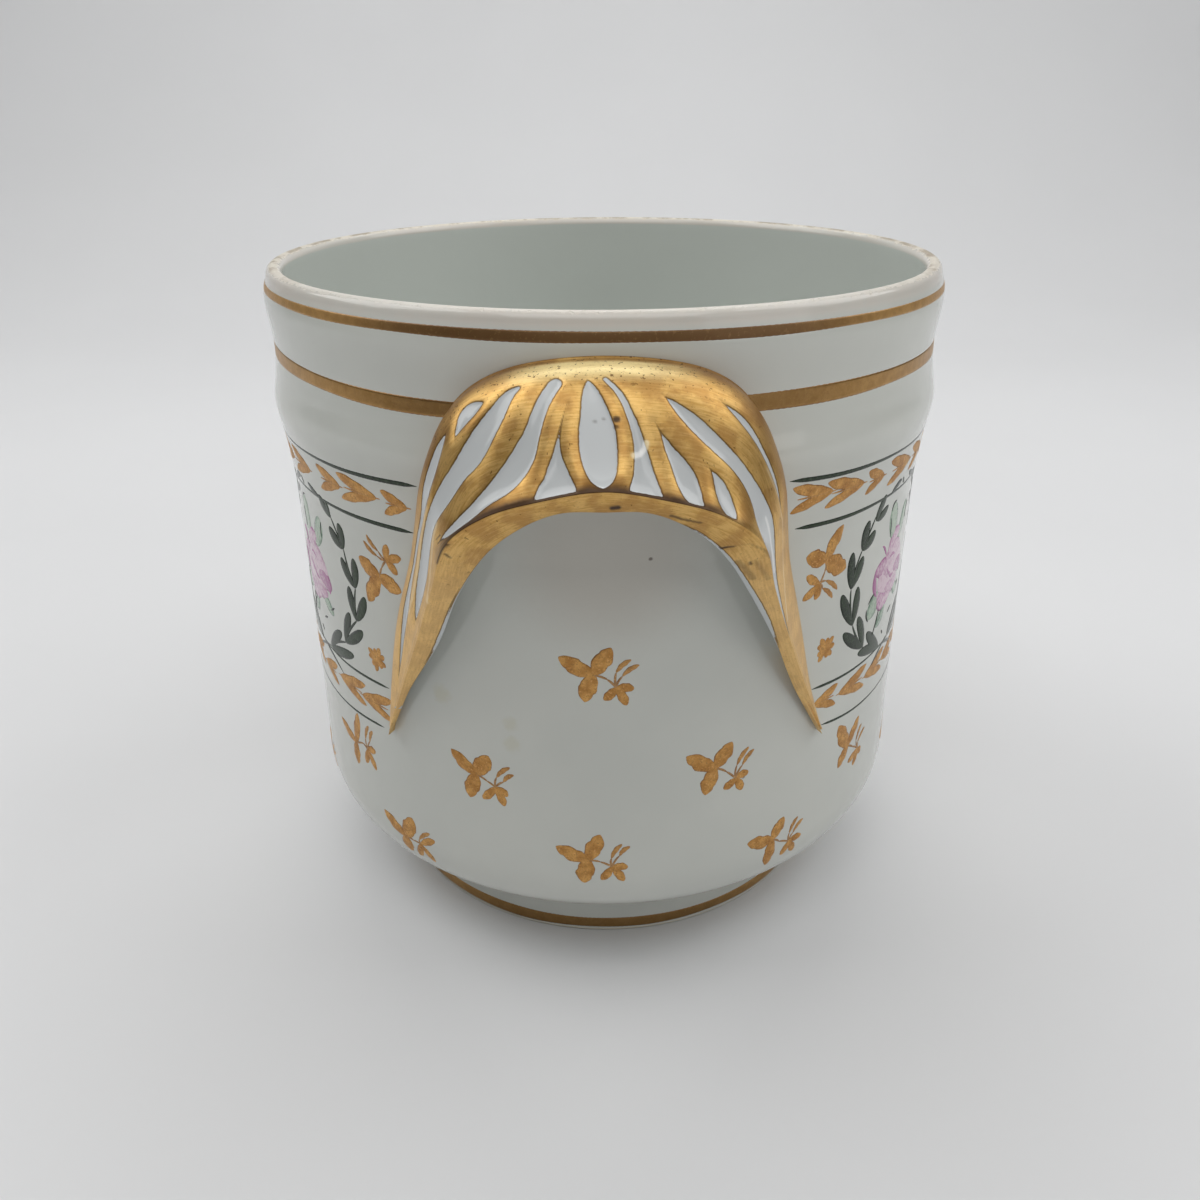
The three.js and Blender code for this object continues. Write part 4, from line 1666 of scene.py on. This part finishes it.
@dataclass(frozen=True)
class Garlands:
    """Two garlands of paired gold leaves on a thin stem, on each side of the pot.

    Each pair has its angle, its height and its size.
    """

    leaf_length: float = 11.4
    least_spread: float = 2.3
    added_spread: float = 0.5
    half_width: float = 1.45
    upper: tuple[Point, ...] = (
        (35.4, 122.4, 0.96), (42.8, 121.8, 1.05), (48.7, 121.4, 0.6), (59.6, 121.1, 1.1),
        (68.5, 120.9, 1.0), (75.0, 120.9, 0.7), (83.5, 121.0, 1.05), (92.0, 121.1, 1.1),
        (100.5, 121.0, 1.0), (107.0, 120.9, 0.65), (116.0, 120.8, 1.05), (125.0, 120.9, 1.05),
        (135.0, 120.9, 0.8), (143.8, 121.2, 1.08), (149.8, 120.7, 0.56),
    )
    lower: tuple[Point, ...] = (
        (37.0, 70.3, 0.7), (43.6, 69.8, 1.05), (52.2, 69.2, 1.05), (60.3, 69.0, 1.0),
        (68.5, 68.8, 0.8), (75.0, 68.7, 1.05), (83.5, 68.7, 1.1), (92.0, 68.8, 0.8),
        (99.0, 68.8, 1.05), (107.5, 68.7, 1.1), (117.5, 67.6, 0.8), (125.6, 68.6, 1.1),
        (133.7, 68.2, 1.0),
    )

    def pair(self, size: float, forward: float) -> list[Stroke]:
        """Two leaves and a bit of stem.

        Args:
            size: Share of a full leaf's length.
            forward: 1 where the leaves point round to the right, -1 to the left.

        Returns:
            The strokes of one pair.
        """
        reach = self.leaf_length * size * forward
        spread = self.least_spread + self.added_spread * size
        half = self.half_width * (0.7 + 0.3 * size)
        leaf = Stroke((-0.3 * forward, 0.1), (reach, spread), half, -0.15 * forward, 0.6, 0.5,
                      taper=0.1, ragged=0.07, tone=0.55)
        twin = replace(leaf, base=(-0.3 * forward, -0.1), tip=(reach * 0.97, -spread),
                       half_width=half * 0.86, bend=0.3 * forward, tone=0.5)
        stem = Stroke((-1.5 * forward, 0), (reach * 0.85, 0), 0.26, blunt=0.3, tone=0.3)
        return [stem, leaf, twin]

    def build(self, body: PotBody, gold: bpy.types.Material) -> None:
        """Paints the garlands of both sides."""
        for side, offset in SIDES:
            for name, pairs, forward in (("upper", self.upper, -1), ("lower", self.lower, 1)):
                work = EnamelWork(body)
                for degrees, height, size in pairs:
                    work.paint(Place(degrees + offset, height), self.pair(size, forward))
                work.piece(f"{side}_{name}_garland", gold, Slot.GOLD)


@dataclass(frozen=True)
class Wreaths:
    """Oval wreaths of dark green leaves, two on each side of the pot.

    Each pair of leaves has its joint and the tips of both leaves, from the top down.
    """

    rise: float = 0.06
    right_pairs: tuple[tuple[Spot, ...], ...] = (
        ((17.8, 10.3), (11.8, 13.8), (16.7, 16.2)),
        ((20.9, 1.7), (16.0, 7.8), (21.5, 9.2)),
        ((19.7, -6.9), (18.0, 1.4), (24.4, 0.6)),
        ((12.9, -15.0), (16.9, -5.8), (21.9, -8.8)),
        ((2.7, -20.3), (11.4, -13.0), (16.5, -17.1)),
    )
    left_pairs: tuple[tuple[Spot, ...], ...] = (
        ((-19.6, 9.9), (-17.7, 16.5), (-14.2, 13.0)),
        ((-22.4, 1.4), (-23.3, 10.6), (-18.7, 8.4)),
        ((-20.1, -8.4), (-25.8, 1.1), (-19.6, 1.2)),
        ((-13.9, -16.5), (-23.7, -9.3), (-18.0, -7.0)),
        ((-3.7, -20.6), (-12.8, -13.2), (-16.2, -17.3)),
    )

    def strokes(self) -> list[Stroke]:
        """All strokes of one wreath."""
        made = []
        for pairs in (self.right_pairs, self.left_pairs):
            for base, first, second in pairs:
                made.append(Stroke(base, first, 1.6, 0.3, 0.6, 0.62, taper=-0.17, tone=0.35))
                made.append(Stroke(base, second, 1.55, -0.3, 0.6, 0.62, taper=-0.17, tone=0.55))
            for low, high in zip(pairs[1:], pairs):
                made.append(Stroke(low[0], high[0], 0.42, 0.5, blunt=0.25, tone=0.4))
            top = pairs[0][0]
            made.append(Stroke(top, (top[0] * 0.76, 16.6), 0.4, blunt=0.25, tone=0.4))
        made += [
            Stroke((13.6, 16.6), (9.0, 20.7), 1.5, 0.3, 0.6, 0.5, tone=0.4),
            Stroke((13.2, 16.8), (12.4, 20.2), 0.9, 0.0, 0.6, 0.5, tone=0.55),
            Stroke((9.4, 20.2), (3.0, 21.9), 0.85, 0.3, 0.6, 0.5, tone=0.3),
            Stroke((-0.6, 20.4), (-2.2, 22.2), 0.6, tone=0.5),
            Stroke((-14.6, 15.3), (-11.4, 20.8), 1.45, 0.2, 0.6, 0.5, tone=0.5),
            Stroke((-14.2, 15.3), (-8.8, 17.4), 1.2, -0.2, 0.6, 0.5, tone=0.5),
            Stroke((-9.0, 19.9), (-2.9, 21.9), 0.85, 0.3, 0.6, 0.5, tone=0.3),
            Stroke((2.7, -20.3), (-8.5, -24.8), 0.45, -0.6, tone=0.4),
            Stroke((-3.7, -20.6), (9.8, -25.0), 0.5, 0.6, tone=0.4),
        ]
        return made

    def build(self, body: PotBody, green: bpy.types.Material) -> None:
        """Paints the wreaths."""
        for number, degrees in enumerate(WREATH_ANGLES, 1):
            work = EnamelWork(body, rise=self.rise)
            work.paint(Place(degrees, WREATH_HEIGHT), self.strokes())
            work.piece(f"wreath_{number}", green, Slot.GREEN)


@dataclass(frozen=True)
class Roses:
    """A small painted rose with its leaves in the middle of each wreath."""

    leaf_rise: float = 0.05
    petal_rise: float = 0.07
    layer_rise: float = 0.004

    def petals(self) -> list[Stroke]:
        """The rose's petals, pale ones first."""
        return [
            Stroke((-9.6, -2.6), (7.4, 0.4), 7.2, 0.6, 0.5, 0.5, tone=0.95),
            Stroke((-1.0, -8.5), (-9.5, -4.5), 2.7, 1.2, 0.5, 0.5, tone=0.62),
            Stroke((0.5, -7.5), (-7.0, -9.0), 1.9, -0.6, 0.5, 0.5, tone=0.75),
            Stroke((-3.0, -2.5), (-11.6, 2.2), 3.0, -1.5, 0.5, 0.5, tone=0.6),
            Stroke((-6.5, 0.5), (5.0, 3.6), 3.4, 1.2, 0.5, 0.45, tone=0.8),
            Stroke((-5.0, 4.5), (2.6, 8.4), 2.5, 0.8, 0.5, 0.5, tone=0.72),
            Stroke((0.5, -1.5), (8.9, -2.6), 3.0, 0.6, 0.5, 0.5, tone=0.45),
            Stroke((-4.6, -4.4), (5.6, -5.6), 2.4, -0.8, 0.5, 0.5, tone=0.7),
            Stroke((-11.4, 2.6), (-9.4, -5.4), 1.1, -0.9, 0.5, tone=0.15),
            Stroke((3.4, 0.4), (7.6, -4.6), 1.9, 0.9, 0.5, tone=0.12),
            Stroke((-9.2, 7.6), (-6.4, 4.4), 0.45, 0.4, tone=0.0),
            Stroke((-4.2, 2.4), (0.8, 2.0), 0.75, 0.9, tone=0.1),
            Stroke((-3.0, -1.4), (1.4, -2.8), 0.7, -0.7, tone=0.15),
            Stroke((-4.4, 0.4), (-1.4, -1.8), 0.55, -0.5, tone=0.0),
            Stroke((-2.4, 0.6), (1.6, -0.2), 0.8, 0.4, tone=1.0),
            Stroke((-0.8, -3.8), (4.2, -3.4), 0.55, 0.3, tone=1.0),
            Stroke((-7.8, -2.0), (-6.0, 1.6), 0.55, 0.4, tone=0.98),
        ]

    def leaves(self) -> list[Stroke]:
        """The light green leaves round the rose."""
        return [
            Stroke((-2.4, 7.0), (-4.6, 16.8), 3.0, 0.3, 0.6, 0.5, tone=0.7),
            Stroke((1.6, 6.0), (6.4, 14.2), 2.7, -0.4, 0.6, 0.5, tone=0.6),
            Stroke((-8.6, -4.0), (-13.2, -9.6), 2.9, 0.3, 0.5, 0.5, tone=0.6),
            Stroke((2.0, -5.6), (8.0, -10.0), 1.9, -0.4, 0.55, 0.6, tone=0.5),
            Stroke((-3.0, -9.2), (-7.6, -14.0), 1.8, 0.4, 0.55, 0.6, tone=0.4),
        ]

    def dashes(self) -> list[Stroke]:
        """Dark touches round the leaves."""
        return [
            Stroke((6.2, -9.3), (8.9, -7.7), 0.35, tone=0.2),
            Stroke((0.5, -13.3), (3.2, -12.3), 0.35, tone=0.2),
            Stroke((-2.9, -16.6), (-1.8, -18.0), 0.4, tone=0.2),
            Stroke((-7.0, -13.2), (-5.2, -11.6), 0.3, tone=0.1),
            Stroke((-6.2, 15.0), (-3.2, 17.0), 0.35, 0.7, tone=0.1),
            Stroke((-6.0, 13.6), (-5.2, 8.4), 0.3, 0.3, tone=0.1),
            Stroke((7.4, 13.6), (6.6, 9.4), 0.3, -0.4, tone=0.1),
            Stroke((-12.6, -10.4), (-14.2, -6.6), 0.35, 0.5, tone=0.1),
            Stroke((-13.6, -5.6), (-10.6, -3.6), 0.3, 0.3, tone=0.1),
            Stroke((-7.0, -9.0), (-9.6, -15.6), 0.34, 0.4, tone=0.3),
        ]

    def build(self, body: PotBody, rose: bpy.types.Material, leaf: bpy.types.Material,
              green: bpy.types.Material) -> None:
        """Paints the roses, their leaves and the dark touches."""
        for number, degrees in enumerate(WREATH_ANGLES, 1):
            for name, strokes, material, slot, rise in (
                (f"rose_{number}_leaves", self.leaves(), leaf, Slot.LEAF, self.leaf_rise),
                (f"rose_{number}_touches", self.dashes(), green, Slot.GREEN, self.petal_rise),
                (f"rose_{number}", self.petals(), rose, Slot.ROSE, self.petal_rise),
            ):
                work = EnamelWork(body)
                for layer, stroke in enumerate(strokes):
                    work.rise = rise + self.layer_rise * layer
                    work.paint(Place(degrees, WREATH_HEIGHT), [stroke])
                work.piece(name, material, slot)


@dataclass(frozen=True)
class Sprig:
    """One gold sprig: three large leaves, three small ones and one or two dabs.

    All its places are (side, up) from the joint of its large leaves. A large leaf also has
    half its width.
    """

    at: Place
    leaves: tuple[Point, ...]
    elbow: Spot
    joint: Spot
    small: tuple[Spot, ...]
    dabs: tuple[tuple[Spot, Spot], ...]

    def turned(self, offset: float) -> Place:
        """Its place, moved round the pot."""
        return replace(self.at, degrees=self.at.degrees + offset)

    def strokes(self) -> list[Stroke]:
        """Its strokes, in the order of painting."""
        made = [
            Stroke((0.2, -0.2), self.elbow, 0.3, 0.15, blunt=0.25, tone=0.2),
            Stroke(self.elbow, self.joint, 0.3, 0.1, blunt=0.25, tone=0.2),
        ]
        for number, (side, up, half) in enumerate(self.leaves):
            made.append(Stroke((-0.05 * side, -0.05 * up), (side, up), 1.12 * half,
                               0.25 - 0.25 * number, 0.54, 0.62, 0.2, taper=0.08, ragged=0.05,
                               tone=0.45 + 0.08 * number))
        for start, end in self.dabs:
            made.append(Stroke(self.joint, start, 0.28, 0.2, blunt=0.25, tone=0.15))
            made.append(Stroke(start, end, 0.62, 0.35, 0.6, 0.5, ragged=0.1, tone=0.3))
        for side, up in self.small:
            made.append(Stroke(self.joint, (side, up), 1.12, 0.15, 0.6, 0.55, ragged=0.06))
        return made


@dataclass(frozen=True)
class Sprigs:
    """The gold sprigs that are strewn on the wall, each painted a little differently."""

    front: tuple[Sprig, ...] = (
        Sprig(Place(-1.8, 87.7), ((-7.2, 3.9, 1.85), (3.7, 6.3, 1.9), (-1.9, -6.7, 1.9)),
              (2.9, -1.2), (4.7, -3.1), ((2.2, -6.2), (8.5, -3.5), (7.0, -7.5)),
              (((4.7, 0.4), (7.8, 3.4)), ((6.0, -0.5), (9.5, 2.1)))),
        Sprig(Place(-21.4, 59.2), ((-6.2, 5.1, 1.6), (3.2, 5.6, 2.1), (-2.0, -6.8, 1.9)),
              (2.6, -1.3), (4.5, -2.5), ((1.3, -6.3), (7.5, -4.3), (6.6, -7.2)),
              (((4.9, 0.2), (8.2, 3.5)), ((6.5, -0.7), (9.0, 1.7)))),
        Sprig(Place(17.8, 61.8), ((-6.9, 4.2, 1.9), (3.8, 6.0, 1.85), (-2.2, -6.9, 1.85)),
              (2.8, -1.7), (5.1, -4.0), ((2.3, -6.3), (8.4, -3.0), (6.9, -7.6)),
              (((5.3, -0.6), (8.1, 3.6)), ((6.7, -0.9), (9.5, 2.6)))),
        Sprig(Place(-2.9, 39.6), ((-7.4, 3.3, 1.8), (2.7, 7.1, 1.9), (-1.0, -6.8, 2.05)),
              (2.7, -0.5), (5.4, -1.9), ((2.9, -5.7), (9.0, -2.1), (8.1, -6.2)),
              (((5.2, 0.4), (7.6, 4.4)), ((7.0, 1.1), (9.4, 3.7)))),
        Sprig(Place(29.6, 37.0), ((-7.1, 1.2, 1.85), (3.2, 5.3, 1.6), (-0.6, -8.3, 1.55)),
              (2.2, -1.5), (5.2, -2.8), ((3.5, -6.7), (9.4, -2.7), (7.5, -7.1)),
              (((5.3, -0.4), (7.8, 3.4)), ((6.5, -0.8), (9.6, 2.0)))),
        Sprig(Place(-37.7, 33.2), ((-8.0, 4.2, 1.6), (2.6, 6.7, 2.2), (-0.2, -5.3, 1.9)),
              (2.4, -0.1), (4.7, -0.2), ((2.9, -5.2), (9.5, 2.9), (8.0, -5.0)),
              (((4.5, 1.2), (8.1, 4.4)),)),
        Sprig(Place(-51.0, 52.0), ((-8.4, 3.0, 1.4), (2.4, 9.4, 1.5), (-0.2, -6.6, 1.6)),
              (3.8, 1.4), (5.5, 0.5), ((4.3, -3.9), (9.2, 1.7), (8.8, -4.0)),
              (((5.1, 3.4), (7.1, 7.9)), ((7.0, 3.5), (8.7, 7.2)))),
        Sprig(Place(48.2, 52.3), ((-5.2, 8.0, 2.1), (4.6, 6.4, 1.5), (-3.8, -4.7, 1.6)),
              (2.8, -1.7), (5.9, -3.7), ((0.9, -5.4), (7.4, -5.7), (3.8, -7.8)),
              (((4.4, -0.8), (6.7, 3.0)), ((5.5, -1.7), (9.1, 0.8)))),
    )
    panels: tuple[Sprig, ...] = (
        Sprig(Place(36.5, 106.5), ((4.4, 7.0, 1.65), (-6.1, 2.0, 2.0), (7.0, -3.9, 2.3)),
              (-0.2, -2.8), (-1.4, -5.2), ((-5.5, -2.4), (-6.1, -8.0), (-2.3, -8.8)),
              (((0.4, -5.0), (4.6, -8.3)), ((-0.4, -6.6), (3.2, -9.9)))),
        Sprig(Place(142.1, 102.6), ((-6.6, 2.8, 1.9), (6.5, -2.1, 1.9), (-4.8, -7.4, 2.0)),
              (1.2, 2.4), (2.7, 4.3), ((3.4, 8.2), (7.3, 6.0), (5.8, 1.8)),
              (((0.5, 6.0), (-2.9, 8.9)), ((0.1, 4.7), (-4.1, 7.2)))),
    )
    side_places: tuple[Place, ...] = (
        Place(90.0, 54.0), Place(74.5, 36.5, 10), Place(107.0, 36.0, -8), Place(91.0, 104.0, 85),
    )

    def build(self, body: PotBody, gold: bpy.types.Material) -> None:
        """Paints the sprigs of the front, the back, both sides and the panels."""
        sides = tuple(replace(self.front[2 * number], at=place)
                      for number, place in enumerate(self.side_places))
        for name, sprigs, offsets in (
            ("front_sprigs", self.front, (0.0,)),
            ("rear_sprigs", self.front, (180.0,)),
            ("side_sprigs", sides, HALF_TURNS),
            ("panel_sprigs", self.panels, HALF_TURNS),
        ):
            work = EnamelWork(body, rise=0.09, columns=9)
            for offset in offsets:
                for sprig in sprigs:
                    work.paint(sprig.turned(offset), sprig.strokes())
            work.piece(name, gold, Slot.GOLD)


@dataclass(frozen=True)
class StarFlowers:
    """Small gold star flowers in the panels beside the wreaths."""

    places: tuple[Place, ...] = (
        Place(38.4, 84.3), Place(90.0, 82.5, 12), Place(139.1, 80.9, 25),
    )
    petals: int = 9
    radius: float = 3.4
    reach_share: float = 0.9
    reach_scatter: float = 0.14
    turn_scatter: float = 7.0

    def build(self, body: PotBody, gold: bpy.types.Material) -> None:
        """Paints the star flowers."""
        work = EnamelWork(body, rise=0.07)
        for offset in HALF_TURNS:
            for place in self.places:
                for petal in range(self.petals):
                    turn = place.turn + 360.0 * petal / self.petals
                    turn += self.turn_scatter * math.sin(3.0 * petal)
                    share = self.reach_share + self.reach_scatter * math.sin(2.4 * petal)
                    stroke = Stroke((-0.3, 0), (self.radius * share, 0), 0.85, belly=0.62,
                                    blunt=0.45, ragged=0.1)
                    work.paint(Place(place.degrees + offset, place.height, turn), [stroke])
        work.piece("star_flowers", gold, Slot.GOLD)


@dataclass(frozen=True)
class Lamp:
    """A soft rectangular lamp: its place and size in metres, its power in watts."""

    name: str
    place: Point
    size: Spot
    power: float
    aim: Point = (0, 0, 0.08)

    def hang(self) -> None:
        """Adds the lamp to the scene, facing its aim."""
        light = bpy.data.lights.new(self.name, "AREA")
        light.shape = "RECTANGLE"
        light.size, light.size_y = self.size
        light.energy = self.power
        made = bpy.data.objects.new(self.name, light)
        made.location = self.place
        facing = Vector(self.aim) - Vector(self.place)
        made.rotation_euler = facing.to_track_quat("-Z", "Y").to_euler()
        bpy.context.scene.collection.objects.link(made)


@dataclass(frozen=True)
class Studio:
    """Camera, paper sweep, soft lamps and world, none of them part of the pot.

    The camera's angles are in radians, its focal length a share of the picture's width.
    """

    camera_distance: float = 262.811
    camera_height: float = 194.766
    camera_pitch: float = 0.454640
    camera_yaw: float = -0.00533589
    camera_roll: float = 0.0067752
    focal_share: float = 1030.341 / 1200.0
    sensor: float = 36.0
    floor_front: float = -2200.0
    floor_back: float = 600.0
    sweep_bend: float = 500.0
    wall_top: float = 2400.0
    half_width: float = 2400.0
    ambient: float = 0.034
    lamps: tuple[Lamp, ...] = (
        Lamp("ceiling", (-0.15, 0.15, 1.25), (1.3, 1.1), 2.6),
        Lamp("ceiling_front", (0.0, -0.7, 1.2), (1.2, 0.8), 5.4),
        Lamp("ceiling_left", (-0.9, 0.1, 1.0), (0.9, 0.9), 5.7),
        Lamp("ceiling_right", (0.9, 0.1, 1.0), (0.9, 0.9), 5.4),
        Lamp("ceiling_back", (0.0, 0.85, 1.2), (1.2, 0.5), 4.7),
        Lamp("right_fill", (0.9, -0.8, 0.5), (0.8, 0.8), 1.4),
        Lamp("front_fill", (0.0, -1.2, 0.5), (1.0, 0.6), 0.4),
    )

    def camera(self) -> None:
        """Places the camera at the photograph's viewing angle."""
        yaw, pitch, roll = self.camera_yaw, self.camera_pitch, self.camera_roll
        forward = Vector((math.sin(yaw) * math.cos(pitch), math.cos(yaw) * math.cos(pitch),
                          -math.sin(pitch)))
        level = Vector((math.cos(yaw), -math.sin(yaw), 0))
        upright = Vector((math.sin(yaw) * math.sin(pitch), math.cos(yaw) * math.sin(pitch),
                          math.cos(pitch)))
        right = level * math.cos(roll) - upright * math.sin(roll)
        up = level * math.sin(roll) + upright * math.cos(roll)
        lens = bpy.data.cameras.new("camera")
        lens.sensor_width = self.sensor
        lens.lens = self.focal_share * self.sensor
        lens.clip_start = 0.01
        made = bpy.data.objects.new("camera", lens)
        rows = Matrix((right, up, -forward)).transposed()
        place = Vector((0, -self.camera_distance, self.camera_height)) * MM
        made.matrix_world = Matrix.Translation(place) @ rows.to_4x4()
        bpy.context.scene.collection.objects.link(made)
        bpy.context.scene.camera = made

    def sweep(self, paper: bpy.types.Material) -> None:
        """Makes the floor that curves up into the backdrop."""
        turn = np.linspace(-math.pi / 2, 0, 24)
        bend = self.sweep_bend
        curve = np.stack([self.floor_back + bend * np.cos(turn), bend + bend * np.sin(turn)], -1)
        line = np.concatenate([
            [(self.floor_front, 0), (0, 0)], curve, [(self.floor_back + bend, self.wall_top)]])
        points = np.stack([
            np.insert(line, 0, side, axis=1) for side in (-self.half_width, self.half_width)
        ])
        mesh = bpy.data.meshes.new("paper_sweep")
        mesh.from_pydata((points.reshape(-1, 3) * MM).tolist(), [], grid_faces(2, len(line)))
        mesh.shade_smooth()
        mesh.materials.append(paper)
        made = bpy.data.objects.new("paper_sweep", mesh)
        bpy.context.scene.collection.objects.link(made)

    def world(self) -> None:
        """Lights the pot faintly and evenly from all around."""
        made = bpy.data.worlds.new("tent")
        graph = Graph(made)
        light = {"Color": (1.0, 1.0, 1.0), "Strength": self.ambient}
        shader = graph.node("ShaderNodeBackground", {}, light)
        graph.node_output("ShaderNodeOutputWorld", shader)
        bpy.context.scene.world = made

    def build(self, paper: bpy.types.Material) -> None:
        """Sets up the whole studio."""
        self.camera()
        self.sweep(paper)
        self.world()
        for lamp in self.lamps:
            lamp.hang()
        bpy.context.scene.view_settings.view_transform = "Standard"


def main() -> None:
    """Builds the pot's pieces, dresses them and sets up the studio."""
    logging.basicConfig(level=logging.INFO, format="%(name)s: %(message)s")
    glaze = GlazeFinish().material("clear_glaze")
    gold = BrushedGoldFinish().material("brushed_gold")
    banding = BrushedGoldFinish(
        (0.46, 0.26, 0.085), (0.545, 0.32, 0.115), thin=(0.20, 0.11, 0.04), metallic=0.85,
        roughness=0.27, grain=0.6, edge_strength=0.5, painted_glints=0.1, mottle=0.2)
    lining = replace(banding, gold=(0.50, 0.285, 0.095), pale=(0.60, 0.35, 0.125),
                     thin=(0.14, 0.07, 0.025), metallic=0.4, thinning=0.9)
    green = EnamelFinish((0.008, 0.017, 0.007), (0.038, 0.06, 0.032), wash=0.06,
                         gloss=0.25).material("green_enamel")
    rose = EnamelFinish((0.40, 0.13, 0.30), (0.72, 0.53, 0.62), roughness=0.12, wash=0.5,
                        outline=0.3).material("rose_enamel")
    leaf = EnamelFinish((0.14, 0.24, 0.17), (0.42, 0.52, 0.40), wash=0.4).material("leaf_enamel")
    gilt = GiltLugFinish().material("burnished_gilding")
    body, foot = PotBody(), FootRing()
    body.build(glaze)
    foot.build(glaze)
    LugHandle().build(body, gilt)
    GoldBands().build(body, foot, banding.material("banding_gold"),
                      lining.material("lining_gold"))
    BorderLines().build(body, green)
    Garlands().build(body, gold)
    Wreaths().build(body, green)
    Roses().build(body, rose, leaf, green)
    Sprigs().build(body, gold)
    StarFlowers().build(body, gold)
    Studio().build(PaperFinish().material("studio_paper"))


if __name__ == "__main__":
    main()
